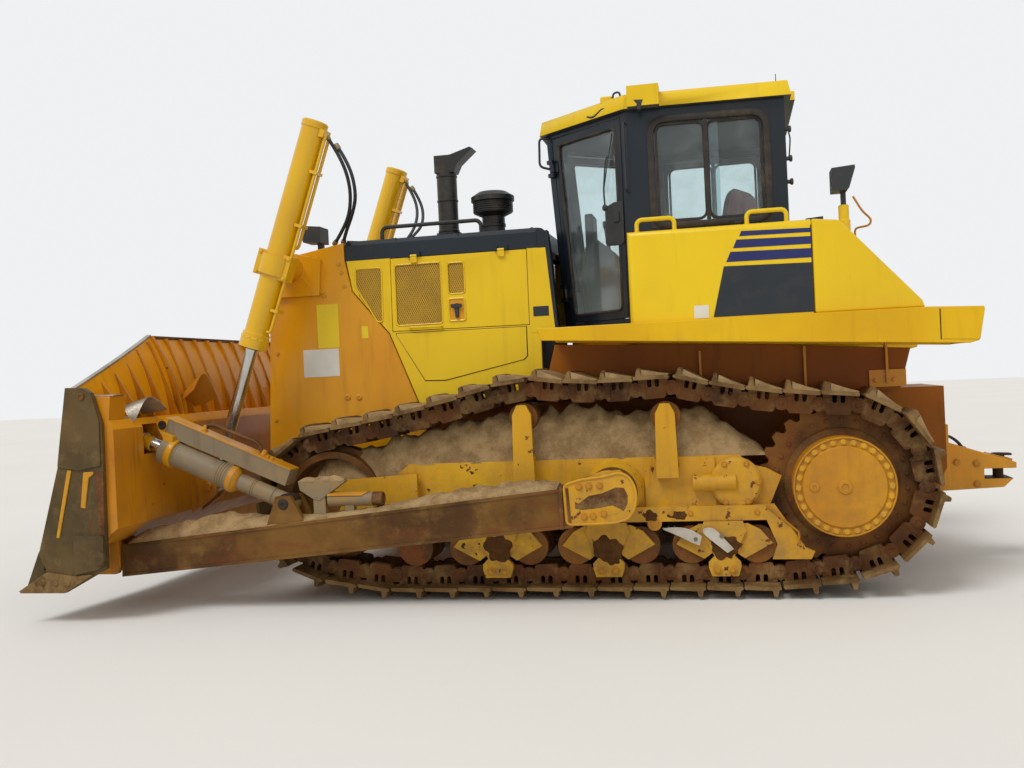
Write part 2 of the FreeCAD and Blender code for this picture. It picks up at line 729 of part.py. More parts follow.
def windscreen(gap):
    low, high = screen_low_y - gap, screen_high_y - gap
    return ((-low, 2080.0 + gap), (low, 2080.0 + gap), (high, 3120.0 - gap), (-high, 3120.0 - gap))


def cab_shell():
    shell = cab_loft(cab_low, cab_high, 0.0).cut(cab_loft(cab_low + 20.0, cab_high + 10.0, cab_wall))
    cuts = []
    corners, normal = door_plane(door_low - door_gap, door_high + door_gap, door_edge - door_gap)
    hole = slab(corners, normal, cab_wall + 60.0, 30.0)
    cuts += [hole, mirrored(hole)]
    cuts.append(prism_y(side_window(), -cab_side_y - 40.0, cab_side_y + 40.0))
    cuts.append(prism_x(rear_window(0.0), cab_rear - cab_wall - 20.0, cab_rear + 20.0))
    cuts.append(prism_x(windscreen(0.0), nose_high_x - 60.0, nose_low_x + 170.0))
    for cut in cuts:
        shell = shell.cut(cut)
    pins = hinge_pins()
    return join([shell] + pins + [mirrored(pin) for pin in pins])


def cab_door(side):
    corners, normal = door_plane(door_low, door_high, door_edge)
    inner, _ = door_plane(door_low + door_frame, door_high - door_frame, door_edge + door_frame)
    solid = slab(corners, normal, door_skin, 0.0).cut(slab(inner, normal, door_skin + 5.0, 5.0))
    leaves, holes = hinge_leaves()
    solid = join([solid] + leaves)
    for hole in holes:
        solid = solid.cut(hole)
    return solid if side > 0 else mirrored(solid)


def door_glass(side):
    edge = door_frame + 0.3
    corners, normal = door_plane(door_low + edge, door_high - edge, door_edge + edge)
    solid = slab(corners, normal, 12.0 + glass, -12.0)
    return solid if side > 0 else mirrored(solid)


def cab_glass():
    """Windscreen, two side windows and the rear window, each set in its opening."""
    panes = []
    gap = 0.3
    points = grown(side_window(), -gap)
    pane = prism_y(points, cab_side_y - 36.0, cab_side_y + 40.0)
    side_skin = cab_loft(cab_low, cab_high, 14.0).cut(cab_loft(cab_low - 1.0, cab_high + 1.0, 14.0 + glass))
    pane = pane.common(side_skin)
    panes += [pane, mirrored(pane)]
    panes.append(prism_x(rear_window(gap), cab_rear - 14.0 - glass, cab_rear - 14.0))
    front = prism_x(windscreen(gap), nose_high_x - 60.0, nose_low_x + 170.0)
    panes.append(front.common(side_skin))
    return group(panes)


def cab_roof():
    plan_low = grown(cab_plan(cab_high, 0.0), roof_overhang)
    plan_high = grown(cab_plan(cab_high, 0.0), roof_overhang - 20.0)
    plan_top = grown(cab_plan(cab_high, 0.0), -180.0)
    stages = []
    for plan, z in ((plan_low, cab_high + 0.3), (plan_high, cab_high + roof_rim),
                    (plan_top, cab_high + roof_rim + 52.0)):
        corners = [V(x, y, z) for x, y in plan]
        stages.append(Part.makePolygon(corners + corners[:1]))
    roof = join([Part.makeLoft(stages[:2], True, True), Part.makeLoft(stages[1:], True, True)])
    lip = box(cab_rear + roof_overhang - 20.0, cab_rear + roof_overhang + 40.0, 240.0 - cab_rear_y,
              cab_rear_y - 240.0, cab_high + 30.0, cab_high + roof_rim - 10.0)
    corner_box = box(-1242.0, -1030.0, cab_side_y - 40.0, cab_side_y + 92.0, cab_high + 1.0, cab_high + 140.0)
    return join([roof, lip, corner_box, mirrored(corner_box)])


def side_tank(side):
    solid = box(tank_front, tank_joint - 1.0, tank_inner_y, tank_outer_y, fender_top + 0.3, tank_top)
    edges = [e for e in solid.Edges if min(v.Y for v in e.Vertexes) > tank_outer_y - 1.0
             and (min(v.Z for v in e.Vertexes) > tank_top - 1.0
                  or max(v.X for v in e.Vertexes) < tank_front + 1.0)]
    solid = solid.makeFillet(38.0, edges)
    return solid if side > 0 else mirrored(solid)


def rear_tank():
    base = fender_top + 0.3
    outline = ((tank_joint + 1.0, base), (tank_rear, base), (tank_rear - 16.0, base + 45.0),
               (59.0, 2291.0), (30.0, 2310.0), (tank_joint + 1.0, tank_top))
    return prism_y(outline, -tank_outer_y, tank_outer_y)


def seat():
    cushion = box(-1010.0, -520.0, -250.0, 250.0, 2150.0, 2290.0)
    back = prism_y(((-560.0, 2290.0), (-420.0, 2290.0), (-330.0, 2860.0), (-440.0, 2860.0)), -240.0, 240.0)
    base = box(-960.0, -540.0, -200.0, 200.0, cab_low + 20.3, 2150.0)
    return join([cushion, back, base])


def console():
    """Instrument column in front of the seat and the two armrest boxes with levers."""
    dash = prism_y(((-1660.0, cab_low + 20.3), (-1420.0, cab_low + 20.3), (-1440.0, 2330.0),
                    (-1560.0, 2430.0), (-1660.0, 2380.0)), -190.0, 190.0)
    solids = [dash]
    for side in (-1.0, 1.0):
        low, high = sorted((side * 300.0, side * 430.0))
        arm = box(-1080.0, -560.0, low, high, cab_low + 20.3, 2360.0)
        stick = rod(V(-1000.0, side * 365.0, 2360.0), V(-1040.0, side * 365.0, 2520.0), 18.0)
        solids.append(join([arm, stick]))
    return group(solids)


def exhaust():
    pipe = Part.makeCylinder(78.0, 560.0, V(-2750.0, 0.0, hood_high + 0.3))
    skirt = Part.makeCylinder(98.0, 90.0, V(-2750.0, 0.0, hood_high + 0.3))
    tip = prism_y(((-2828.0, 3055.0), (-2672.0, 3055.0), (-2640.0, 3120.0), (-2518.0, 3225.0),
                   (-2540.0, 3238.0), (-2700.0, 3190.0), (-2828.0, 3190.0)), -72.0, 72.0)
    return join([pipe, skirt, tip])


def precleaner():
    base = hood_high + 0.3
    return spun_z(-2390.0, 0.0, ((0.0, base), (120.0, base), (120.0, base + 60.0), (88.0, base + 70.0),
                                 (88.0, 2690.0), (150.0, 2720.0), (150.0, 2800.0), (168.0, 2810.0),
                                 (168.0, 2845.0), (110.0, 2882.0), (0.0, 2882.0)))


def handrails():
    """Hood rails, tank grab rails and the hoop at the front corners of the cab."""
    tubes = []
    for side in (-1.0, 1.0):
        y = side * (hood_half_width - 120.0)
        route = ((-3134.0, y, hood_high + 0.3), (-3134.0, y, hood_high + 99.0),
                 (-2377.0, y, hood_high + 99.0), (-2377.0, y, hood_high + 0.3))
        tubes.append(bent_tube("hood rail", route, 15.0))
        for front, back in ((-1188.0, -951.0), (-504.0, -264.0)):
            y = side * (tank_outer_y - 60.0)
            route = ((front, y, tank_top + 0.3), (front, y, tank_top + 78.0),
                     (back, y, tank_top + 78.0), (back, y, tank_top + 0.3))
            tubes.append(bent_tube("tank rail", route, 14.0))
    return group(tubes)


def lamps():
    """Work lamps on the guard, the cab's rear and the fenders' rear, each on its stem."""
    solids = []
    for side in (-1.0, 1.0):
        x, y = hood_front - 245.0, side * (hood_half_width - 150.0)
        base = guard_top_z(x + 20.0)
        stem = box(x - 20.0, x + 20.0, y - 20.0, y + 20.0, base + 0.3, base + 80.0)
        head = prism_y(((x - 110.0, base + 72.0), (x + 30.0, base + 62.0), (x + 30.0, base + 182.0),
                        (x - 110.0, base + 197.0)), y - 85.0, y + 85.0)
        solids.append(join([stem, head]))
        y = side * (tank_outer_y - 170.0)
        stem = box(74.0, 104.0, y - 15.0, y + 15.0, 2220.0, 2500.0)
        head = prism_y(((20.0, 2500.0), (110.0, 2500.0), (160.0, 2650.0), (20.0, 2640.0)), y - 80.0, y + 80.0)
        solids.append(join([stem.cut(rear_tank()), head]))
    return group(solids)


def hitch():
    """Rear drawbar bracket with an open jaw and its upright bore."""
    outline = ((760.3, 500.0), (1185.0, 519.0), (hitch_rear, 600.0), (hitch_rear, 690.0), (1150.0, 730.0),
               (799.0, 851.0), (760.3, 851.0))
    body = prism_y(outline, -120.0, 120.0)
    slot = box(1060.0, hitch_rear + 5.0, -130.0, 130.0, 580.0, 650.0)
    bore = Part.makeCylinder(36.0, 400.0, V(1175.0, 0.0, 480.0))
    plate = box(760.3, 800.0, -300.0, 300.0, 560.0, 980.0)
    return join([body, plate]).cut(slot).cut(bore)


def front_line(offset):
    """Points up the arc of the blade's front face, moved back by an offset, from foot to top."""
    arc = Part.Arc(*[V(x + offset, 0.0, z) for x, z in blade_arc])
    return [(p.x, p.z) for p in arc.discretize(blade_flats + 1)]


def swept(section):
    """A section carried straight across the centre and back along both slanting wings."""
    middle = section.copy()
    middle.translate(V(0, -blade_fold_y, 0))
    outer = section.copy()
    outer.translate(V(0, blade_fold_y, 0))
    right = outer.extrude(V(-wing_sweep, wing_width, 0))
    return [middle.extrude(V(0, 2.0 * blade_fold_y, 0)), right, mirrored(right)]


def above_wings():
    """What the slanting top edges of the two wings leave out."""
    points = ((blade_fold_y, blade_high), (plate_inner_y, blade_end_high),
              (plate_inner_y + 50.0, blade_end_high), (plate_inner_y + 50.0, blade_high + 100.0),
              (blade_fold_y, blade_high + 100.0))
    half = prism_x(points, blade_nose - 700.0, box_rear_x + 500.0)
    return [half, mirrored(half)]


def moldboard():
    """Plate pressed in narrow flats along the arc."""
    plate = join(swept(face_xz(front_line(0.0) + front_line(blade_plate)[::-1])))
    for piece in above_wings():
        plate = plate.cut(piece)
    return plate


def before_plate():
    """All the space in front of the moldboard's back face."""
    line = front_line(blade_plate + 0.2)
    (foot_x, foot_z), (top_x, top_z) = line[0], line[-1]
    far = blade_nose - 900.0
    ends = [(top_x - 90.0, top_z + 150.0), (far, top_z + 150.0), (far, foot_z - 150.0),
            (foot_x - 60.0, foot_z - 150.0)]
    return join(swept(face_xz(line + ends)))


def wing_share(y):
    return max(0.0, (abs(y) - blade_fold_y) / wing_width)


def blade_back():
    """Box girder with ears for the push arms and the lift rods."""
    wide = plate_inner_y - 0.3
    front = blade_nose - 30.0
    pieces = [prism_y(((front, 480.0), (box_rear_x - 180.0, 480.0), (box_rear_x, 600.0),
                       (box_rear_x, box_top - 60.0), (box_rear_x - 30.0, box_top), (front, box_top)),
                      -wide, wide)]
    x, z = blade_pin
    for low, high in ((arm_inner_y - 8.0, arm_inner_y + 46.0), (arm_outer_y - 46.0, arm_outer_y + 8.0)):
        ear = prism_y(((front, z - 95.0), (x + 35.0, z - 95.0), (x + 66.0, z - 50.0), (x + 66.0, z + 60.0),
                       (x + 50.0, 500.0), (front, 500.0)), low, high)
        pieces += [ear, mirrored(ear)]
    whole = join(pieces).cut(before_plate())
    ex, ez = tilt_eye
    pocket = box(ex - 110.0, box_rear_x + 10.0, tilt_y - 92.0, tilt_y + 92.0, ez - 105.0, ez + 95.0)
    whole = whole.cut(pocket).cut(mirrored(pocket))
    lx, lz = lift_eye
    added = [pin_y(x, z, arm_inner_y - 8.0, arm_outer_y + 8.0, blade_pin_radius),
             pin_y(lx, lz, lift_y - 112.0, lift_y - 95.0, lift_pin_radius),
             pin_y(lx, lz, lift_y + 95.0, lift_y + 112.0, lift_pin_radius),
             pin_y(ex, ez, tilt_y - 96.0, tilt_y + 96.0, tilt_pin_radius)]
    for low, high in ((lift_y - 96.0, lift_y - 50.0), (lift_y + 50.0, lift_y + 96.0)):
        added.append(prism_y(((box_rear_x - 5.0, lz - 190.0), (lx + 50.0, lz - 60.0), (lx + 70.0, lz),
                              (lx + 50.0, lz + 60.0), (box_rear_x - 5.0, lz + 190.0)), low, high))
    return join([whole] + added + [mirrored(piece) for piece in added])


def blade_ribs():
    """Slanting ribs that stand on the box girder behind the moldboard, each one solid."""
    front = blade_nose - 30.0
    ys = [-blade_fold_y - wing_width * (i + 0.5) / 6.2 for i in range(6)]
    ys += [y * -1.0 for y in ys] + [(i - 4) * blade_fold_y * 0.21 for i in range(9)]
    space = before_plate()
    ribs = []
    for y in ys:
        share = wing_share(y)
        top = blade_high + share * (blade_end_high - blade_high) - 20.0
        top_x = blade_arc[2][0] + blade_plate - share * (wing_sweep - 90.0) + 45.0
        rib = prism_y(((front, box_top + 0.3), (box_rear_x - 40.0, box_top + 0.3), (top_x, top),
                       (front, top)), y - 7.0, y + 7.0)
        ribs.append(rib.cut(space).Solids[0])
    return group(ribs)


def cutting_edge():
    """Bolt-on edge plates along the foot of the moldboard."""
    x, z = blade_arc[0]
    outline = ((x - 0.3, z + 130.0), (x - 34.0, z + 130.0), (x - 140.0, blade_low + 12.0),
               (x - 134.0, blade_low), (x - 96.0, blade_low), (x - 0.3, z - 8.0))
    return join(swept(face_xz(outline)))


def end_plates():
    """Worn side plates of the blade with their end bits, and the pin boss on the outer face."""
    outline = ((-4790.0, 1508.0), (-4665.0, 1503.0), (-4612.0, 1470.0), (-4550.0, 1272.0),
               (-4560.0, 352.0), (-4862.0, blade_low), (blade_nose + 14.0, blade_low),
               (blade_nose, blade_low + 14.0), (-4987.0, 331.0), (-5044.0, 448.0), (-4875.0, 1011.0))
    plate = prism_y(outline, plate_inner_y, plate_inner_y + end_plate)
    x, z = blade_pin[0] + 156.0, blade_pin[1] + 55.0
    boss = prism_y(((x - 171.0, z + 165.0), (x + 38.0, z + 160.0), (x + 38.0, z - 20.0), (x - 6.0, z - 50.0),
                    (x - 176.0, z - 85.0)), plate_inner_y + end_plate - 1.0, blade_half_width - 8.0)
    plug = pin_y(x, z + 20.0, plate_inner_y, blade_half_width, 44.0)
    right = join([plate, boss, plug])
    return group([mirrored(right), right])


def push_arm(side):
    """Box beam from the trunnion cap to the tongue that holds the blade pin."""
    x, z = blade_pin
    tx, tz = trunnion
    beam_outline = ((-4676.0, 447.0), (-4686.0, 232.0), (-1631.0, 508.0), (-1644.0, 753.0))
    beam = prism_y(beam_outline, arm_inner_y, arm_outer_y)
    tongue = prism_y(((-4600.0, 260.0), (x, z - 72.0), (x - 62.0, z - 36.0), (x - 62.0, z + 36.0),
                      (x, z + 72.0), (-4600.0, 440.0)), arm_inner_y + 52.0, arm_outer_y - 52.0)
    cap = spun_y(tx, tz, ((0.0, arm_inner_y - 60.0), (150.0, arm_inner_y - 60.0), (158.0, arm_inner_y - 40.0),
                          (158.0, arm_outer_y - 40.0), (110.0, arm_outer_y), (0.0, arm_outer_y)))
    beam = beam.cut(prism_y(grown(beam_outline, -18.0), arm_outer_y - 8.0, arm_outer_y + 5.0))
    neck = prism_y(((-1700.0, 502.0), (tx, tz - 150.0), (tx, tz + 150.0), (-1700.0, 757.0)),
                   arm_inner_y, arm_outer_y - 40.0)
    cheek = prism_y(((tx - 247.0, tz - 164.0), (tx - 237.0, tz + 73.0), (tx - 47.0, tz + 151.0),
                     (tx + 73.0, tz + 158.0), (tx + 141.0, tz + 98.0), (tx + 163.0, tz - 2.0),
                     (tx + 148.0, tz - 92.0), (tx + 103.0, tz - 144.0)),
                    arm_outer_y - 60.0, arm_outer_y - 22.0)
    ex, ez = tilt_foot
    parts = [beam, tongue, cap, neck, cheek]
    for low, high in ((tilt_y - 100.0, tilt_y - 62.0), (tilt_y + 62.0, tilt_y + 100.0)):
        parts.append(prism_y(((ex - 130.0, ez - 160.0), (ex + 150.0, ez - 130.0), (ex + 50.0, ez + 52.0),
                              (ex - 50.0, ez + 52.0)), low, high))
    solid = join(parts)
    solid = solid.cut(pin_y(x, z, arm_inner_y, arm_outer_y, blade_pin_radius + run_clearance))
    solid = solid.cut(pin_y(ex, ez, tilt_y - 105.0, tilt_y + 105.0, 36.0 + run_clearance))
    solid = solid.cut(pin_y(tx, tz, arm_inner_y - 70.0, arm_outer_y - 29.9, 78.0 + run_clearance))
    return solid if side > 0 else mirrored(solid)


def along(start, end):
    line = V(end[0] - start[0], 0.0, end[1] - start[1])
    return V(start[0], 0.0, start[1]), line.normalize(), math.hypot(end[0] - start[0], end[1] - start[1])


def lift_barrel(side):
    pivot, way, _ = along(lift_trunnion, lift_eye)
    top = pivot - way * lift_barrel_up
    foot = pivot + way * lift_barrel_down
    body = rod(top, foot, lift_barrel_radius)
    gland = rod(foot - way * 70.0, foot, lift_barrel_radius + 14.0)
    collar = rod(pivot - way * 70.0, pivot + way * 70.0, lift_barrel_radius + 26.0)
    stub = pin_y(lift_trunnion[0], lift_trunnion[1], hood_half_width + 100.0 - lift_y, 0.0, 46.0)
    solid = join([body, gland, collar, stub])
    solid = solid.cut(rod(top + way * 60.0, foot + way * 5.0, lift_rod_radius + run_clearance))
    solid.translate(V(0, lift_y, 0))
    return solid if side > 0 else mirrored(solid)


def lift_rod(side):
    pivot, way, length = along(lift_trunnion, lift_eye)
    eye = pivot + way * length
    body = rod(pivot + way * (lift_barrel_down - lift_rod_inside), eye - way * 60.0, lift_rod_radius)
    solid = join([body, pin_y(eye.x, eye.z, -44.0, 44.0, lift_pin_radius + 30.0)])
    solid.translate(V(0, lift_y, 0))
    return solid if side > 0 else mirrored(solid)


def lift_bracket(side):
    """Bearing arm bolted to the side of the guard, holding the cylinder's trunnion."""
    x, z = lift_trunnion
    wall = hood_half_width + 0.3
    arm = prism_y(((x - 150.0, z - 210.0), (x + 210.0, z - 210.0), (x + 230.0, z + 60.0),
                   (x + 40.0, z + 110.0), (x - 90.0, z + 90.0)), wall, wall + 40.0)
    boss = pin_y(x, z, wall, lift_y - lift_barrel_radius - 36.0, 96.0)
    solid = join([arm, boss]).cut(pin_y(x, z, wall + 97.7, lift_y, 46.0 + run_clearance))
    return solid if side > 0 else mirrored(solid)


def tilt_barrel(side):
    foot, way, length = along(tilt_foot, tilt_eye)
    body = rod(foot + way * 400.0, foot + way * 960.0, tilt_barrel_radius)
    gland = rod(foot + way * 900.0, foot + way * 960.0, tilt_barrel_radius + 12.0)
    band = rod(foot + way * 400.0, foot + way * 440.0, tilt_barrel_radius + 7.0)
    neck = rod(foot + way * 30.0, foot + way * 402.0, 56.0)
    eye = pin_y(tilt_foot[0], tilt_foot[1], -57.0, 57.0, 64.0)
    shaft = pin_y(tilt_foot[0], tilt_foot[1], -100.0, 100.0, 36.0)
    up = V(way.z, 0.0, -way.x)
    up = up if up.z > 0 else up * -1.0
    cover = []
    for reach, height in ((60.0, 96.0), (1010.0, 96.0), (1060.0, 150.0), (1010.0, 205.0), (60.0, 205.0)):
        corner = foot + way * reach + up * height
        cover.append((corner.x, corner.z))
    guard = prism_y(cover, -120.0, 20.0)
    straps = []
    for reach in (470.0, 900.0):
        centre = foot + way * reach
        low, high = centre + up * 40.0, centre + up * 100.0
        straps.append(prism_y(((low.x - 30.0, low.z), (low.x + 30.0, low.z), (high.x + 30.0, high.z),
                               (high.x - 30.0, high.z)), -60.0, 15.0))
    solid = join([body, gland, band, neck, eye, shaft, guard] + straps)
    solid = solid.cut(rod(foot + way * 430.0, foot + way * 965.0, tilt_rod_radius + run_clearance))
    solid.translate(V(0, tilt_y, 0))
    return solid if side > 0 else mirrored(solid)


def tilt_rod(side):
    foot, way, length = along(tilt_foot, tilt_eye)
    eye = foot + way * length
    body = rod(foot + way * 600.0, eye - way * 40.0, tilt_rod_radius)
    ring = pin_y(eye.x, eye.z, -46.0, 46.0, 62.0)
    solid = join([body, ring]).cut(pin_y(eye.x, eye.z, -50.0, 50.0, tilt_pin_radius + tilt_play))
    solid.translate(V(0, tilt_y, 0))
    return solid if side > 0 else mirrored(solid)


def lift_hoses(side):
    """Two hoses from the cylinder's head down to the guard's top corner."""
    tubes = []
    for shift in (0.0, 70.0):
        tubes.append(bent_tube("lift hose", ((-3380.0 + shift, lift_y - 30.0, 3220.0 - shift),
                                             (-3290.0 + shift, lift_y - 30.0, 3080.0 - shift),
                                             (-3240.0 + shift * 0.6, lift_y - 90.0, 2880.0 - shift),
                                             (-3290.0 + shift * 0.3, lift_y - 200.0, 2690.0),
                                             (-3420.0 + shift * 0.5, lift_y - 330.0, 2560.0),
                                             (-3500.0 + shift, lift_y - 400.0, 2500.0)), 13.0))
    solid = group(tubes)
    return solid if side > 0 else mirrored(solid)


def both(name, make):
    return [(name + "_left", make(-1)), (name + "_right", make(1))]


def paired(name, solid):
    return [(name + "_left", mirrored(solid)), (name + "_right", solid)]


def engine_block():
    half = hull_half_width - 50.0
    return box(-3250.0, -2000.0, -half, half, hull_top + 0.3, 2240.0)


def nodes():
    listed = [("main_frame", main_frame()), ("engine_block", engine_block()), ("radiator", radiator()),
              ("radiator_guard", radiator_guard()), ("front_grille", front_grille()),
              ("hood_top", hood_top()), ("rear_tank", rear_tank()), ("cab_shell", cab_shell()),
              ("cab_roof", cab_roof()), ("cab_glass", cab_glass()), ("seat", seat()), ("console", console()),
              ("exhaust", exhaust()), ("precleaner", precleaner()), ("handrails", handrails()),
              ("lamps", lamps()), ("hitch", hitch()), ("moldboard", moldboard()),
              ("blade_back", blade_back()), ("blade_ribs", blade_ribs()),
              ("cutting_edge", cutting_edge()), ("end_plates", end_plates())]
    listed += both("hood_side", hood_side) + both("engine_door", engine_door) + both("fender", fender)
    listed += both("side_tank", side_tank) + both("cab_door", cab_door) + both("door_glass", door_glass)
    listed += paired("track", track_loop()) + paired("track_frame", track_frame())
    listed += paired("final_drive", sprocket_and_hub()) + paired("idler", idler())
    listed += paired("rollers", rollers())
    listed += both("push_arm", push_arm) + both("lift_bracket", lift_bracket)
    listed += both("lift_barrel", lift_barrel) + both("lift_rod", lift_rod)
    listed += both("tilt_barrel", tilt_barrel) + both("tilt_rod", tilt_rod) + both("lift_hoses", lift_hoses)
    return listed


os.makedirs("parts", exist_ok=True)
for name, shape in nodes():
    shape.translate(V(-origin_x, 0, 0))
    shape.exportStep("parts/" + name + ".step")
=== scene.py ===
# Crawler bulldozer: paint, glass, tracks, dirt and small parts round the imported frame.
# Sizes are millimetres from the sprocket axis: x runs to the rear, -y is the machine's left side, z is up.
from functools import partial
import math
import bpy
import bmesh
import numpy as np
from mathutils import Matrix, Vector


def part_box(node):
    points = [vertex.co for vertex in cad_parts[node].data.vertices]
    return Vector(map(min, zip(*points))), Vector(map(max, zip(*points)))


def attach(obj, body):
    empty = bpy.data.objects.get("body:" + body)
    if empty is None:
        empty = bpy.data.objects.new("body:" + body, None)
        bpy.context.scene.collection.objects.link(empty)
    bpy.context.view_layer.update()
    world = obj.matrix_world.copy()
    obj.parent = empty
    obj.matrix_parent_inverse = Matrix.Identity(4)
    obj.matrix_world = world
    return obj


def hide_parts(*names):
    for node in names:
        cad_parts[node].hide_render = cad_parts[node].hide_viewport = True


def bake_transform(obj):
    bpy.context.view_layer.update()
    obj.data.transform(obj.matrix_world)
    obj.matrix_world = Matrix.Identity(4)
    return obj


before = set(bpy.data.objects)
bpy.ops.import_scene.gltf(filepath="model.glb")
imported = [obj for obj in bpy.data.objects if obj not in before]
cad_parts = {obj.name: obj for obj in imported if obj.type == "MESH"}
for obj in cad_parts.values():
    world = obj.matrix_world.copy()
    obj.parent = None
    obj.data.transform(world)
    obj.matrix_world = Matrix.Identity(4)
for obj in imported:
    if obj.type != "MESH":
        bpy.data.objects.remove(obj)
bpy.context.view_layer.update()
sprocketX = 1.9595        # metres from the frame's origin to the sprocket axis
print("frame loaded:", len(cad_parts), "nodes")

# name used here: Blender's node, its settings, its inputs in the order given, the output read
nodeKinds = {
    "place": ("TexCoord", {}, (), "Object"),
    "mapped": ("Mapping", {}, ("Vector", "Scale", "Location"), 0),
    "noise": ("TexNoise", {}, ("Vector", "Scale", "Detail", "Roughness"), "Fac"),
    "band": ("MapRange", {"interpolation_type": "SMOOTHSTEP"}, ("Value", "From Min", "From Max", "To Max"),
             0),
    "mix": ("Mix", {"data_type": "RGBA"}, (0, 6, 7), 2),
    "bump": ("Bump", {}, ("Height", "Distance", "Strength"), 0),
    "surface": ("BsdfPrincipled", {}, (), 0),
    "output": ("OutputMaterial", {}, ("Surface",), 0),
    "glow": ("Background", {}, ("Color", "Strength"), 0),
    "mixShader": ("MixShader", {}, (0, 1, 2), 0),
    "worldOutput": ("OutputWorld", {}, ("Surface",), 0),
}
nodeKinds.update({axis: ("SeparateXYZ", {}, (0,), axis.upper()) for axis in "xyz"})
nodeKinds.update({ray: ("LightPath", {}, (), "Is %s Ray" % ray)
                  for ray in ("Camera", "Glossy", "Transmission")})
sums = {"plus": ("ADD", True), "times": ("MULTIPLY", True), "minus": ("SUBTRACT", True),
        "higher": ("MAXIMUM", True), "sum": ("ADD", False), "product": ("MULTIPLY", False),
        "sine": ("SINE", False)}
nodeKinds.update({word: ("Math", {"operation": operation, "use_clamp": clamp}, (0, 1), 0)
                  for word, (operation, clamp) in sums.items()})
finishes = {}


def toLinear(hexColour):
    # sRGB hex to linear: c / 12.92 below 0.04045, else ((c + 0.055) / 1.055) ** 2.4
    c = np.array([int(hexColour[i:i + 2], 16) for i in (1, 3, 5)]) / 255.0
    linear = np.where(c <= 0.04045, c / 12.92, ((c + 0.055) / 1.055) ** 2.4)
    return tuple(float(v) for v in linear) + (1.0,)


def addNode(tree, kind, *values, **named):
    # one node with its settings; an input that is a socket is linked, anything else is its value
    name, settings, inputs, output = nodeKinds[kind]
    made = tree.nodes.new("ShaderNode" + name)
    for key, value in settings.items():
        setattr(made, key, value)
    given = [*zip(inputs, values), *((key.replace("_", " "), value) for key, value in named.items())]
    for key, value in given:
        if isinstance(value, bpy.types.NodeSocket):
            tree.links.new(value, made.inputs[key])
        else:
            made.inputs[key].default_value = toLinear(value) if isinstance(value, str) else value
    return made.outputs[output] if made.outputs else made


def newMaterial(name):
    material = finishes[name] = bpy.data.materials.new(name)
    material.use_nodes = True
    material.node_tree.nodes.clear()
    add = partial(addNode, material.node_tree)
    return add, add("place")


def paintedSteel(name, colour="#e9c400", faded="#e0b800", runs=0.12, stain="#8f5a08", dustHeights=(0.2, 1.5),
                 dust=0.55, film=0.10, dustColour="#a17c3c", chipsPerMetre=26.0, chipFrom=0.80,
                 roughness=0.36, coat=0.15, peel=0.25, gloss=0.35):
    # gloss enamel over sheet or cast steel: a slow fade across the panel, dust that settles low down and
    # in runs, and chips that show primer and rust
    add, place = newMaterial(name)
    fade = add("band", add("noise", place, 0.8, 3.0, 0.55), 0.35, 0.68)
    streaks = add("noise", add("mapped", place, (1, 1, 0.12)), 14.0, 4.0, 0.6)
    shade = add("mix", add("band", streaks, 0.5, 0.78, runs), add("mix", fade, colour, faded), stain)
    low, high = dustHeights
    settled = add("band", add("z", place), high, low, dust)
    grain = add("band", add("noise", place, 9.0, 6.0, 0.7), 0.3, 0.7)
    patches = add("noise", add("mapped", place, (1, 1, 1), (4, 1, 2)), 3.1, 5.0, 0.65)
    dusty = add("plus", add("times", settled, grain), add("band", patches, 0.5, 0.8, film))
    chips = add("noise", add("mapped", place, (1, 1, 1), (7, 3, 5)), chipsPerMetre, 5.0, 0.62)
    chipped = add("band", chips, chipFrom, chipFrom + 0.02)
    shade = add("mix", chipped, add("mix", dusty, shade, dustColour), add("mix", fade, "#3d2c1c", "#6b3a1a"))
    rough = add("plus", add("plus", roughness, add("times", dusty, 0.5)), add("times", chipped, 0.3))
    skin = add("minus", add("noise", place, 55.0, 2.0, 0.55), add("times", chipped, 0.8))
    add("output", add("surface", Base_Color=shade, Roughness=rough, Coat_Weight=coat, Coat_Roughness=0.12,
                      IOR=1.5, Specular_IOR_Level=gloss, Normal=add("bump", skin, 0.0009, peel)))


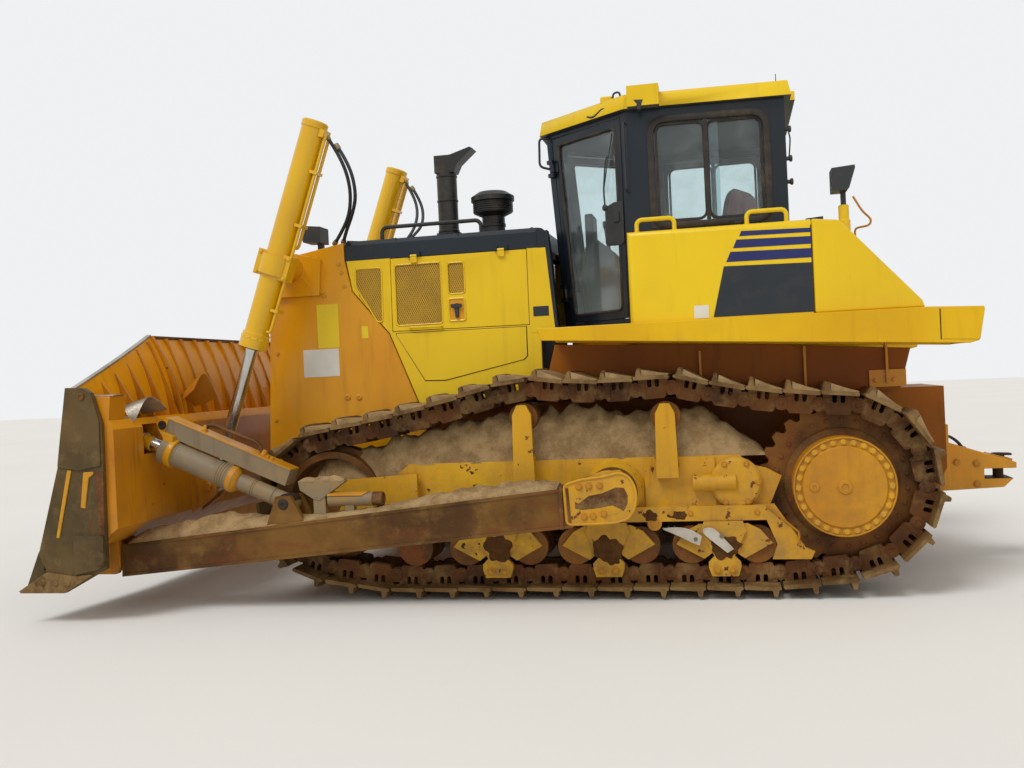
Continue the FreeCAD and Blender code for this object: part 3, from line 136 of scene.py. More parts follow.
paints = {
    # panels of the tank and the hood: bright, waxed by rain, only a few runs
    "enamelYellow": dict(),
    # guard and hull: the same enamel, more orange and darker, partly painted shade and partly baked dust
    "enamelAmber": dict(colour="#de9c02", faded="#cf8a02", runs=0.3, film=0.12, chipFrom=0.74, dust=0.35),
    # back of the blade: deep amber, scuffed and stained by wet soil
    "scuffedAmber": dict(colour="#cc8602", faded="#a56003", runs=0.5, stain="#5c2f06", film=0.15,
                         chipFrom=0.70, chipsPerMetre=9.0, dust=0.6, dustHeights=(0.1, 1.1),
                         dustColour="#8a6230", roughness=0.42),
    # the blade's back plates and the box's top faces: brighter amber with thin runs; the brightness is
    # painted light
    "shelteredAmber": dict(colour="#f0a404", faded="#e09406", runs=0.3, stain="#8a4c08", film=0.08,
                           chipFrom=0.72, dust=0.25, dustColour="#96682a", roughness=0.42, gloss=0.25),
    # hull plates below the tanks: amber darkened to brown as painted shade of the tanks above, with dark runs
    "bakedAmber": dict(colour="#a05c02", faded="#844304", runs=0.4, stain="#4a2206", film=0.1, chipFrom=0.76,
                       dust=0.3, dustColour="#7a5220", roughness=0.48, gloss=0.2, coat=0.05),
    # fenders: yellow under a film of fine sand
    "dustedYellow": dict(colour="#e2b400", faded="#d3a000", runs=0.2, film=0.22, dust=0.4,
                         dustColour="#b08838",
                         gloss=0.25, coat=0.1),
    # track frames and bogies: chipped to the primer and dusted with sand
    "chippedYellow": dict(colour="#deaa04", faded="#c8900a", runs=0.45, film=0.4, chipFrom=0.63,
                          chipsPerMetre=13.0, dust=1.0, dustHeights=(0.1, 1.3), roughness=0.48, coat=0.1,
                          peel=0.5),
    # final-drive hubs: yellow under a brown film of oil and soil
    "oiledYellow": dict(colour="#d09604", faded="#bb7c04", runs=0.35, film=0.35, chipFrom=0.72,
                        dustColour="#8a6028", roughness=0.4),
    # cylinder barrels: thick glossy enamel
    "barrelYellow": dict(colour="#e2b304", faded="#d6a204", film=0.15, dust=0.3, roughness=0.28, coat=0.4),
    # hood band and cab frame: near-black slate enamel that mirrors the sky a little
    "slateEnamel": dict(colour="#111a22", faded="#18222b", runs=0.06, stain="#4a463c", film=0.07,
                        chipFrom=0.9, dust=0.2, roughness=0.32, coat=0.12, peel=0.15, gloss=0.3),
    # grey primer on box covers and tubes
    "bareGrey": dict(colour="#857a66", faded="#776a56", runs=0.5, stain="#5a4630", film=0.5, chipFrom=0.7,
                     dust=0.8, roughness=0.5, coat=0.0, peel=0.6),
}


def wornSteel(name, dark, light, rustColour="#6e3412", rust=0.7, soilColour="#8f7349", soil=0.5, soilFrom=0.5,
              stretch=(1, 1, 1), roughness=0.55, metallic=0.1, pits=0.5):
    # rolled or cast steel with no paint left: brown oxide, soil in the hollows, brighter where it rubs
    add, place = newMaterial(name)
    broad = add("band", add("noise", place, 2.2, 5.0, 0.6), 0.35, 0.65)
    spots = add("noise", add("mapped", place, stretch, (3, 9, 1)), 5.06, 6.0, 0.7)
    rusty = add("times", add("band", spots, 0.5, 0.72), rust)
    soiled = add("noise", add("mapped", place, (1, 1, 1), (1, 6, 8)), 6.0, 7.0, 0.72)
    soiled = add("band", soiled, soilFrom, soilFrom + 0.2)
    shade = add("mix", rusty, add("mix", broad, dark, light), rustColour)
    shade = add("mix", add("times", soiled, soil), shade, soilColour)
    rubbed = add("band", add("noise", add("mapped", place, stretch), 90.0, 3.0, 0.5), 0.4, 0.7)
    rough = add("plus", add("plus", roughness, add("times", rubbed, 0.2)), add("times", soiled, 0.3))
    pitted = add("plus", add("noise", place, 130.0, 3.0, 0.6), add("times", soiled, 0.7))
    add("output", add("surface", Base_Color=shade, Roughness=rough, Metallic=metallic, Specular_IOR_Level=0.3,
                      Normal=add("bump", pitted, 0.002, pits)))


steels = {
    # track links: forged, oiled by soil, red-brown
    "forgedRust": dict(dark="#45270e", light="#71451a", rustColour="#6a3a12", soil=0.7, soilFrom=0.46),
    # shoes: rolled plates scoured by sand
    "scouredPlate": dict(dark="#553c1d", light="#76592f", rust=0.35, soil=0.8, soilFrom=0.42, metallic=0.15),
    # push arms: plates rubbed smooth along their length, rust from the edges
    "rubbedPlate": dict(dark="#4a2c08", light="#77521c", rust=0.65, soilColour="#8a6838",
                        stretch=(0.35, 1, 1.4), roughness=0.42),
    # blade ends and face: grey-brown mill scale with vertical rust runs
    "scaledPlate": dict(dark="#483a1d", light="#614c29", rust=0.6, rustColour="#7a4a20", stretch=(1, 1, 0.2),
                        soil=0.35, roughness=0.45),
    # sprocket rings and idlers: rust with a dark oil film
    "oiledRust": dict(dark="#4c2d10", light="#84551c", rust=0.9, rustColour="#7c4317", soil=0.3),
    # bent flaps and worn guard plates, nearly silver where soil slides over them
    "polishedPlate": dict(dark="#8d8577", light="#b9b1a2", rust=0.25, soil=0.3, soilFrom=0.58, roughness=0.3,
                          metallic=0.55, pits=0.3),
    # engine and hull castings deep inside
    "darkCasting": dict(dark="#241d17", light="#352a20", rust=0.3, soil=0.2, roughness=0.6),
}


def plainFinish(name, colour, second, patchPerMetre=3.0, stretch=(1, 1, 1), dust=0.3, dustColour="#8f7b5a",
                grainPerMetre=160.0, bump=0.4, roughness=0.5, roughSpread=0.1, metallic=0.0):
    # one moulded, plated or coated finish: slow colour variation, a fine grain in the bump, dust film
    add, place = newMaterial(name)
    mapped = add("mapped", place, stretch)
    share = add("band", add("noise", mapped, patchPerMetre, 4.0, 0.6), 0.35, 0.7)
    patches = add("noise", add("mapped", place, (1, 1, 1), (2, 5, 3)), 7.0, 6.0, 0.7)
    dusty = add("band", patches, 0.45, 0.8, dust)
    shade = add("mix", dusty, add("mix", share, colour, second), dustColour)
    grain = add("noise", mapped, grainPerMetre, 3.0, 0.6)
    rough = add("plus", add("plus", roughness, add("times", grain, roughSpread)), add("times", dusty, 0.4))
    add("output", add("surface", Base_Color=shade, Roughness=rough, Metallic=metallic, IOR=1.5,
                      Normal=add("bump", grain, 0.0006, bump)))


plains = {
    # EPDM window rubber: matt brown-black, ribbed by weather
    "windowRubber": dict(colour="#1b1410", second="#271d17", roughness=0.6, dust=0.25),
    # cylinder hoses: black rubber with a cloth print
    "hoseRubber": dict(colour="#1d2126", second="#262a2f", grainPerMetre=420.0, roughness=0.45, dust=0.15),
    # moulded ABS boxes and levers, fine spark grain
    "mouldedPlastic": dict(colour="#1c1e20", second="#26282a", grainPerMetre=700.0, dust=0.12),
    # interior trim and console: warm dark grey
    "trimPlastic": dict(colour="#3b3d3c", second="#464745", grainPerMetre=500.0, roughness=0.6, dust=0.1),
    # exhaust and intake: stove-blacked sheet
    "stoveBlack": dict(colour="#1b1c1e", second="#29251f", roughness=0.42, metallic=0.2, dust=0.2),
    # hard chrome on the cylinder rods, ground round, with a film of soil wiped along it
    "hardChrome": dict(colour="#c9c8c4", second="#b5b2aa", metallic=1.0, roughness=0.12, roughSpread=0.15,
                       patchPerMetre=9.0, stretch=(1, 1, 0.3), dust=0.45, dustColour="#8a744e", bump=0.1),
    # zinc-plated bolts and pins
    "platedBolt": dict(colour="#8f8468", second="#6f6248", metallic=0.7, roughness=0.4, dust=0.4),
    # enamelled stripes and plates
    "navyEnamel": dict(colour="#0b195e", second="#0a1652", roughness=0.3, dust=0.05, bump=0.1),
    "slatePlate": dict(colour="#10181f", second="#151d25", roughness=0.32, dust=0.06, bump=0.1),
    "whitePlate": dict(colour="#dcdad0", second="#cfccc0", roughness=0.4, dust=0.15, bump=0.1),
    "lemonPlate": dict(colour="#e8c911", second="#dfbf10", roughness=0.4, dust=0.1, bump=0.1),
    # lamp lens: dark ribbed polycarbonate
    "lampLens": dict(colour="#565b5e", second="#6b7072", roughness=0.15, roughSpread=0.05, dust=0.2,
                     grainPerMetre=90.0, stretch=(1, 1, 8)),
}


def tintedGlass(name, tint, clear, film, dustColour, dustHeights):
    # float glass with a green-blue tint and a film of dust towards the lower edge
    add, place = newMaterial(name)
    low, high = dustHeights
    spread = add("band", add("noise", place, 5.0, 6.0, 0.7), 0.4, 0.9, film)
    cover = add("plus", spread, add("times", add("band", add("z", place), high, low, film), 0.8))
    add("output", add("surface", Base_Color=add("mix", cover, tint, dustColour), IOR=1.45,
                      Roughness=add("plus", 0.02, add("times", cover, 0.4)),
                      Transmission_Weight=add("minus", clear, cover)))


def packedSand(name, damp, dry, grains, hollow):
    # damp sand and clay: grains a few millimetres across drawn coarse enough to show, clods and dry tops
    add, place = newMaterial(name)
    clods = add("band", add("noise", place, 7.0, 6.0, 0.7), 0.35, 0.65)
    fine = add("noise", place, 260.0, 2.0, 0.7)
    shade = add("mix", add("band", fine, 0.55, 0.7, 0.45), add("mix", clods, damp, dry), grains)
    pores = add("noise", add("mapped", place, (1, 1, 1), (3, 2, 9)), 32.0, 4.0, 0.7)
    shade = add("mix", add("band", pores, 0.55, 0.8, 0.5), shade, hollow)
    lumps = add("plus", add("noise", place, 38.0, 6.0, 0.75), add("times", fine, 0.35))
    add("output", add("surface", Base_Color=shade, Roughness=0.95, Specular_IOR_Level=0.2,
                      Normal=add("bump", lumps, 0.012, 0.8)))


def expandedMesh(name, diamond, air, strand, second):
    # expanded-metal screen: two sets of slanting strands cross to diamonds, and the gaps between them are
    # dark, painted shade of the space behind
    add, place = newMaterial(name)
    waves = []
    for slope in (1.9, -1.9):
        across = add("sum", add("z", place), add("product", add("x", place), slope))
        wave = add("sine", add("product", across, 2.0 * math.pi / diamond))
        waves.append(add("band", wave, 0.35, 0.75))
    strands = add("higher", *waves)
    shade = add("mix", add("band", add("noise", place, 5.0, 4.0, 0.55), 0.4, 0.7), strand, second)
    add("output", add("surface", Base_Color=add("mix", strands, air, shade), Roughness=0.5,
                      Normal=add("bump", strands, 0.004, 0.8)))


def wovenSeat(name, thread, colour, second):
    # woven moquette: two crossing thread waves and a soft sheen
    add, place = newMaterial(name)
    threads = [add("sine", add("product", add(axis, place), 2.0 * math.pi / thread)) for axis in "yz"]
    share = add("band", add("noise", place, 6.0, 5.0, 0.6), 0.35, 0.7)
    add("output", add("surface", Base_Color=add("mix", share, colour, second), Roughness=0.85,
                      Sheen_Weight=0.4, Sheen_Roughness=0.5,
                      Normal=add("bump", add("product", *threads), 0.0012, 0.5)))


sands = {"packedSand": dict(damp="#876c48", dry="#ad9066", grains="#cbb081", hollow="#614a30"),
         "cakedClay": dict(damp="#4a2c14", dry="#63421f", grains="#7d5a33", hollow="#2e1a0c")}
others = {"floatGlass": dict(tint="#e6f3f4", clear=0.98, film=0.1, dustColour="#b5a98e",
                             dustHeights=(1.8, 2.6))}
# the screens' gaps are dark amber: painted shade behind the mesh
screens = {"expandedMesh": dict(diamond=0.030, air="#7a5c14", strand="#cfa014", second="#b88d18")}
cloths = {"wovenSeat": dict(thread=0.006, colour="#8f474b", second="#7c3a40")}
for make, looks in ((paintedSteel, paints), (wornSteel, steels), (plainFinish, plains), (tintedGlass, others),
                    (packedSand, sands), (expandedMesh, screens), (wovenSeat, cloths)):
    for name, look in looks.items():
        make(name, **look)
print("materials:", len(finishes))


def metres(points):
    # millimetres from the sprocket axis to metres in the frame
    return np.asarray(points, float) / 1000.0 + np.array([sprocketX, 0.0, 0.0])


def gridShape(points, wrapRows=False, wrapColumns=False, capRows=False):
    # points[row, column] as one surface of quads; capRows closes its first and last row with a face
    rows, columns = points.shape[:2]
    i = np.arange(rows if wrapRows else rows - 1)[:, None]
    j = np.arange(columns if wrapColumns else columns - 1)[None, :]
    k, n = (i + 1) % rows, (j + 1) % columns
    corners = np.broadcast_arrays(i * columns + j, i * columns + n, k * columns + n, k * columns + j)
    faces = np.stack(corners, -1).reshape(-1, 4).tolist()
    if capRows:
        faces += [list(range(columns)), [(rows - 1) * columns + c for c in range(columns)][::-1]]
    return points.reshape(-1, 3), faces


def frameOf(way):
    # a direction and two more, square to it and to each other
    way = np.asarray(way, float) / np.linalg.norm(way)
    other = np.array([0.0, 1.0, 0.0]) if abs(way[1]) < 0.9 else np.array([1.0, 0.0, 0.0])
    first = np.cross(other, way)
    first /= np.linalg.norm(first)
    return way, first, np.cross(way, first)


def lathe(profile, centre, way=(0, 1, 0), sides=32):
    # each (radius, height) of the profile goes round: centre + height * way + radius * (cos, sin)
    way, first, second = frameOf(way)
    profile = np.asarray(profile, float)
    turn = np.linspace(0.0, 2.0 * np.pi, sides, endpoint=False)
    ring = np.cos(turn)[:, None] * first + np.sin(turn)[:, None] * second
    radius, height = profile.T[:, :, None, None]
    points = np.asarray(centre, float) + height * way + radius * ring[None]
    return gridShape(points, False, True, True)


def slab(outline, low, high, plane="y"):
    # a flat outline pushed from low to high along the axis it is square to
    a = np.asarray(outline, float)
    ends = [np.insert(a, "xyz".index(plane), depth, axis=1) for depth in (low, high)]
    return gridShape(np.stack(ends), False, True, True)


def rectangle(x0, x1, z0, z1):
    return [(x0, z0), (x1, z0), (x1, z1), (x0, z1)]


def block(x0, x1, y0, y1, z0, z1):
    return slab(rectangle(x0, x1, z0, z1), y0, y1)


def roundedPath(points, radius, steps=6, closed=False):
    # straight runs whose corners are cut by quadratic arcs that start a radius away from each corner
    points = [np.asarray(p, float) for p in points]
    count = len(points)
    out = [] if closed else [points[0]]
    t = np.linspace(0.0, 1.0, steps + 1)[:, None]
    for i in (range(count) if closed else range(1, count - 1)):
        corner = points[i]
        ends = []
        for other in (points[i - 1], points[(i + 1) % count]):
            reach = np.linalg.norm(other - corner)
            ends.append(corner + (other - corner) / reach * min(radius, 0.48 * reach))
        out.extend((1 - t) ** 2 * ends[0] + 2 * t * (1 - t) * corner + t ** 2 * ends[1])
    if not closed:
        out.append(points[-1])
    return np.array(out)


def rounded(outline, corner):
    return roundedPath([(x, z, 0.0) for x, z in outline], corner, 4, True)[:, :2]


def carried(section, path, closed=False, turnTo=None):
    # a flat section (across, up) carried along a path; the frame is carried from point to point without twist
    path = np.asarray(path, float)
    ways = np.roll(path, -1, 0) - np.roll(path, 1, 0) if closed else np.gradient(path, axis=0)
    ways /= np.linalg.norm(ways, axis=1)[:, None]
    up = np.asarray(turnTo if turnTo is not None else frameOf(ways[0])[1], float)
    ups = []
    for way in ways:
        up = up - way * np.dot(up, way)
        up = up / np.linalg.norm(up)
        ups.append(up)
    ups = np.array(ups)
    section = np.asarray(section, float)
    points = path[:, None] + section[None, :, 0, None] * np.cross(ways, ups)[:, None]
    return gridShape(points + section[None, :, 1, None] * ups[:, None], closed, True, not closed)


def disc(radius, sides=12):
    turn = np.linspace(0.0, 2.0 * np.pi, sides, endpoint=False)
    return np.stack([radius * np.cos(turn), radius * np.sin(turn)], -1)


def tube(points, radius, bend=60.0, sides=12, closed=False):
    return carried(disc(radius, sides), roundedPath(points, bend, 6, closed), closed)


def beadRound(outline, y, radius, corner=26.0):
    # a bead round an outline on a side face
    return tube([(x, y, z) for x, z in outline], radius, corner, 6, True)


def joined(shapes):
    # several shapes as one: points end to end, face numbers moved on
    points, faces, count = [], [], 0
    for p, f in shapes:
        points.append(p)
        faces += [[n + count for n in face] for face in f]
        count += len(p)
    return np.concatenate(points), faces


outwards = (0, -1, 0)      # out of the left side
upwards = (0, 0, 1)


def knob(profile, x, y, z, sides=24):
    return lathe(profile, (x, y, z), outwards, sides)


def bolt(centre, size=14.0, height=10.0, way=outwards, washer=True):
    # hexagon head on a round washer
    head = lathe([(size, 2.0), (size, height - 2.0), (size * 0.85, height)], centre, way, 6)
    if washer:
        return joined([lathe([(size * 1.35, 0.0), (size * 1.35, 3.0), (size, 3.6)], centre, way, 12), head])
    return head


def bolts(places, y, size, height):
    return [bolt((x, y, z), size, height) for x, z in places]


def boltRing(centre, radius, count, size, height, first=0.0):
    way, a, b = frameOf(outwards)
    turns = np.radians(first + 360.0 * np.arange(count) / count)
    return [bolt(np.asarray(centre, float) + radius * (math.cos(t) * a + math.sin(t) * b), size, height)
            for t in turns]


def mirroredY(shape):
    points, faces = shape
    return points * np.array([1.0, -1.0, 1.0]), [face[::-1] for face in faces]


def finishPiece(name, mesh, finish, bevel, body, slot, stands=(), sharpAngle=35.0, segments=2, flat=False):
    # one object: doubles merged, faces turned outwards or flat ones joined, edges softened by a live Bevel
    shape = bmesh.new()
    shape.from_mesh(mesh)
    bmesh.ops.remove_doubles(shape, verts=shape.verts, dist=0.00002)
    if flat:
        bmesh.ops.dissolve_limit(shape, angle_limit=math.radians(0.6), verts=shape.verts, edges=shape.edges)
    else:
        bmesh.ops.recalc_face_normals(shape, faces=shape.faces)
    shape.to_mesh(mesh)
    shape.free()
    mesh.polygons.foreach_set("use_smooth", np.ones(len(mesh.polygons), bool))
    mesh.set_sharp_from_angle(angle=math.radians(sharpAngle))
    mesh.materials.append(finishes[finish])
    piece = bpy.data.objects.new(name, mesh)
    bpy.context.scene.collection.objects.link(piece)
    if bevel > 0.0:
        soft = piece.modifiers.new("softEdges", "BEVEL")
        soft.width, soft.segments, soft.limit_method = bevel / 1000.0, segments, "ANGLE"
        soft.angle_limit, soft.harden_normals = math.radians(32.0), True
    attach(piece, body)
    if stands:
        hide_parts(*stands)
    return piece


def addPiece(name, shapes, finish, bevel=0.0, body="tractor", slot="body_paint", **more):
    points, faces = joined(shapes)
    mesh = bpy.data.meshes.new(name)
    mesh.from_pydata(metres(points).tolist(), [], faces)
    return finishPiece(name, mesh, finish, bevel, body, slot, **more)


sides = ("left", "right")


def bothSides(word):
    # a name that ends in _ takes the side's name
    return [word + side if word.endswith("_") else word for side in sides]


def pair(name, shapes, finish, bevel=0.0, body="tractor", slot="body_paint", **more):
    # shapes drawn for the left side, and their mirror image on the right
    for full, place, laid in zip(bothSides(name + "_"), bothSides(body), (shapes, map(mirroredY, shapes))):
        addPiece(full, laid, finish, bevel, place, slot, **more)


def dressed(node, finish, bevel, body="tractor", slot="body_paint", parts=(), flat=True):
    # a copy of the frame's node with its corners rounded, standing for it; each part is another finish and
    # the test of the faces' middles and normals that get it
    if node.endswith("_"):
        for full, place in zip(bothSides(node), bothSides(body)):
            dressed(full, finish, bevel, place, slot, parts, flat)
        return
    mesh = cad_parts[node].data.copy()
    mesh.materials.clear()
    finishPiece(node + "_soft", mesh, finish, bevel, body, slot, (node,), flat=flat)
    centres, normals = np.empty(len(mesh.polygons) * 3), np.empty(len(mesh.polygons) * 3)
    mesh.polygons.foreach_get("center", centres)
    mesh.polygons.foreach_get("normal", normals)
    centres = (centres.reshape(-1, 3) - np.array([sprocketX, 0.0, 0.0])) * 1000.0
    index = np.zeros(len(mesh.polygons), int)
    for number, (other, chosen) in enumerate(parts, 1):
        mesh.materials.append(finishes[other])
        index[chosen(centres, normals.reshape(-1, 3))] = number
    mesh.polygons.foreach_set("material_index", index.tolist())


def sheetShape(lines, depth, rounds=2):
    # a bent sheet through lines of points: each pass of corner cutting rounds the folds along both ways;
    # the second skin lies depth along the normals of the first
    grid = np.asarray(lines, float)
    for _ in range(rounds):
        for axis in (0, 1):
            grid = np.moveaxis(grid, axis, 0)
            if len(grid) > 2:
                near, far = grid[:-1] * 0.75 + grid[1:] * 0.25, grid[:-1] * 0.25 + grid[1:] * 0.75
                cut = np.stack([near, far], 1).reshape(-1, *near.shape[1:])[1:-1]
                grid = np.concatenate([grid[:1], cut, grid[-1:]])
            grid = np.moveaxis(grid, 0, axis)
    normal = np.cross(np.gradient(grid, axis=0), np.gradient(grid, axis=1))
    normal /= np.maximum(np.linalg.norm(normal, axis=2), 1e-6)[..., None]
    return gridShape(np.concatenate([grid, (grid - normal * depth)[:, ::-1]], 1), False, True, True)


def rough(seed, *shape, passes=2):
    # random heights from -1 to 1, smoothed by averaging each with its neighbours along every side of the grid
    field = np.random.default_rng(seed).uniform(-1.0, 1.0, shape)
    for _ in range(passes):
        for axis in range(field.ndim):
            if shape[axis] > 2:
                field = 0.5 * field + 0.25 * (np.roll(field, 1, axis) + np.roll(field, -1, axis))
    return field / np.abs(field).max()


# frame nodes whose folded or cast edges show: finish, edge radius, body, slot
# the hull's brown amber is painted shade under the tanks; the darker amber of the guard, grille and brackets
# is partly painted shade
pressed = {"main_frame": ("bakedAmber", 8.0, "tractor", "hull_paint"), "radiator_guard": ("enamelAmber", 6.0),
           "front_grille": ("enamelAmber", 3.0, "tractor", "grille_paint"),
           "hood_top": ("slateEnamel", 8.0, "tractor", "dark_paint"),
           "cab_shell": ("slateEnamel", 7.0, "tractor", "dark_paint"), "rear_tank": ("enamelYellow", 12.0),
           "hood_side_": ("enamelYellow", 3.0), "fender_": ("dustedYellow", 8.0),
           "side_tank_": ("enamelYellow", 3.0), "engine_door_": ("enamelYellow", 3.0, "engine_door_"),
           "cab_door_": ("slateEnamel", 3.0, "cab_door_", "dark_paint"),
           "track_frame_": ("chippedYellow", 6.0, "tractor", "frame_paint"),
           "lift_bracket_": ("enamelAmber", 5.0)}
for node, look in pressed.items():
    dressed(node, *look)
dressed("cab_roof", "enamelYellow", 12.0, parts=[("trimPlastic", lambda c, n: n[:, 2] < -0.7)], flat=False)
carriedOver = {  # frame nodes that stay as they are: finish
               "engine_block": "darkCasting", "radiator": "darkCasting", "cab_glass": "floatGlass",
               "console": "trimPlastic", "exhaust": "stoveBlack", "precleaner": "stoveBlack",
               "lamps": "mouldedPlastic", "blade_ribs": "scuffedAmber", "cutting_edge": "scaledPlate",
               "door_glass_": "floatGlass", "idler_": "oiledRust", "lift_barrel_": "barrelYellow",
               "lift_rod_": "hardChrome", "tilt_rod_": "hardChrome"}
for word, finish in carriedOver.items():
    for node in dict.fromkeys(bothSides(word)):
        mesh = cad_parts[node].data
        mesh.materials.clear()
        mesh.materials.append(finishes[finish])
print("frame nodes dressed")


def laidOut(points, faces, turns, shifts):
    # closed shapes in one mesh, each laid by its own turn and shift
    laid = np.einsum("nab,nkb->nka", turns, np.broadcast_to(points, (len(shifts), *points.shape[-2:])))
    laid = laid + shifts[:, None]
    steps = (np.arange(len(shifts)) * laid.shape[1]).tolist()
    return [(laid.reshape(-1, 3), [[v + s for v in face] for s in steps for face in faces])]


def beltPath(circles, sag, sagAbove, steps=3000):
    # round the belt: an arc about each circle from the last run's normal to the next one's, then the straight
    # run to the next circle; runs above a height hang down by sag * 4 t (1 - t)
    here = np.asarray(circles, float)
    there = np.roll(here, -1, 0)
    across, up, shrink = (there - here).T[0], (there - here).T[1], here[:, 2] - there[:, 2]
    normals = np.arctan2(up, across) - np.arccos(shrink / np.hypot(across, up))
    t = np.linspace(0.0, 1.0, steps, endpoint=False)[:, None]
    path = []
    for i in range(len(here)):
        angle = normals[i - 1] + t * ((normals[i] - normals[i - 1]) % (2.0 * np.pi))
        path.append(here[i, :2] + here[i, 2] * np.hstack([np.cos(angle), np.sin(angle)]))
        way = np.array([np.cos(normals[i]), np.sin(normals[i])])
        start, end = here[i, :2] + here[i, 2] * way, there[i, :2] + there[i, 2] * way
        run = start + t * (end - start)
        if min(start[1], end[1]) > sagAbove:
            run[:, 1:] -= sag * 4.0 * t * (1.0 - t)
        path.append(run)
    return np.concatenate(path)


def pinsAlong(path, pitch, count):
    # points on a closed path, each one pitch from the last in a straight line
    path = np.concatenate([path, path[:len(path) // 4]])
    pins, at = [path[0]], 0
    for _ in range(count):
        gap = np.hypot(*(path[at:] - pins[-1]).T)
        k = int(np.argmax(gap >= pitch))
        share = (pitch - gap[k - 1]) / (gap[k] - gap[k - 1])
        pins.append(path[at + k - 1] + share * (path[at + k] - path[at + k - 1]))
        at += k - 1
    return np.array(pins)


track = dict(middle=1070.0, pitch=228.6, links=42, teeth=27, sag=34.0, sprocketZ=689.0, idlerZ=640.0,
             idlerReach=432.0, carrierReach=187.7, carriers=((-1063.0, 1151.0), (-1987.0, 1176.0)),
             lowReach=183.0, lows=((-2920.0, 330.0), (-368.0, 330.0)), worn=7.0, sandTop=54.0)
idlerX = (sum(corner[0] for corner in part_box("idler_left")) / 2.0 - sprocketX) * 1000.0
circles = [(0.0, track["sprocketZ"], track["pitch"] / (2.0 * math.sin(2.0 * math.pi / track["teeth"])))]
circles += [(x, z, track["carrierReach"]) for x, z in track["carriers"]]
circles += [(idlerX, track["idlerZ"], track["idlerReach"])]
circles += [(x, z, track["lowReach"]) for x, z in track["lows"]]
pins = pinsAlong(beltPath(circles, track["sag"], track["sprocketZ"]), track["pitch"], track["links"])
along = np.diff(pins, axis=0)
along /= np.hypot(*along.T)[:, None]
flat = np.zeros(len(along))
# columns of a turn: along the link, across the machine, out of the loop
linkTurns = np.stack([np.stack([along[:, 0], flat, along[:, 1]], -1),
                      np.tile([0.0, 1.0, 0.0], (len(along), 1)),
                      np.stack([along[:, 1], flat, -along[:, 0]], -1)], -1)
middles = (pins[1:] + pins[:-1]) / 2.0
# -along[:, 0] is 1 where the shoe faces straight up and -1 where it faces the ground
facesUp = -along[:, 0] > 0.25


def shoePlates(seed):
    # rolled section with one grouser carried across the shoe; the tip is worn by a smooth random height, more
    # towards the shoe's ends, and the trailing edge is bent in
    section = np.array([(-106, 65), (104, 65), (113, 69), (114, 82), (99, 88), (91, 142), (87, 147),
                        (72, 147), (67, 142), (60, 90), (-102, 87), (-110, 79)], float)
    y = np.array([-280, -274, -190, -70, 70, 190, 274, 280], float)
    wear = rough(seed, len(along), len(y), passes=1) * track["worn"]
    high = np.clip((section[:, 1] - 100.0) / 47.0, 0.0, 1.0)
    drop = high[None, None] * (track["worn"] + wear + 16.0 * (np.abs(y) / 280.0) ** 8)[..., None]
    points = np.zeros((len(along), len(y), len(section), 3))
    points[..., 0] = section[:, 0] + 3.0 * high * rough(seed + 1, len(along), len(y))[..., None]
    points[..., 1] = y[:, None]
    points[..., 2] = section[:, 1] - drop - 7.0 * np.clip(-section[:, 0] / 110.0, 0, 1) ** 6
    return points


def shoeSand(seed):
    # soil packed against the grouser: its top falls as (1 - s) ** 1.25 from the tip to the trailing edge
    s = np.array([0.0, 0.02, 0.25, 0.5, 0.75, 0.97, 1.0])
    y = np.linspace(-272.0, 272.0, 11)
    size = (facesUp.sum(), len(y), len(s))
    amount = 0.8 + 0.2 * rough(seed, *size[:2])
    points = np.zeros((*size[:2], len(s) + 1, 3))
    top = 87.0 + (track["sandTop"] * (1.0 - s[None, None]) ** 1.25 + 3.0) * amount[..., None]
    top = top + 5.0 * rough(seed + 3, *size) * (s > 0.1)
    points[..., :-1, 0] = 60.0 - 170.0 * s + 5.0 * rough(seed + 4, *size) * (s > 0.5)
    points[..., -1, 0] = 60.0
    points[..., 1] = y[:, None]
    points[..., :-1, 2] = np.maximum(top, 87.5)
    points[..., 0, 2] = top[..., 0]
    points[..., -2:, 2] = 84.0
    return points


def linkShapes():
    # one forged link: rail edge below, two nut windows under the shoe, an eye at each end, the leading one
    # outside and the trailing one inside, and the pin's end in its eye
    half = track["pitch"] / 2.0
    body = [(-74, -52), (-62, -63), (62, -63), (74, -52), (92, 20), (96, 65), (39, 65), (37, 20), (30, 12),
            (18, 12), (11, 20), (10, 65), (-10, 65), (-11, 20), (-18, 12), (-30, 12), (-37, 20), (-39, 65),
            (-96, 65), (-92, 20)]
    eye = [(half + 48.0 * math.cos(a), 48.0 * math.sin(a)) for a in np.radians(np.linspace(128, -128, 9))]
    leading = [(46, 48), *eye, (50, -60)]
    trailing = [(-u, w) for u, w in leading]
    shapes = []
    for way in (-1.0, 1.0):
        for outline, low, high in ((body, 92, 146), (leading, 121, 150), (trailing, 90, 118)):
            shapes.append(slab(outline, *sorted((way * low, way * high))))
        ring = [(34, 148), (39, 150), (39, 153), (33, 155), (17, 155), (15, 152)]
        shapes.append(lathe([(r, way * h) for r, h in ring], (half, 0.0, 0.0), (0, 1, 0), 12))
    shapes.append(lathe([(32, -89), (32, 89)], (half, 0.0, 0.0), (0, 1, 0), 10))
    return joined(shapes)


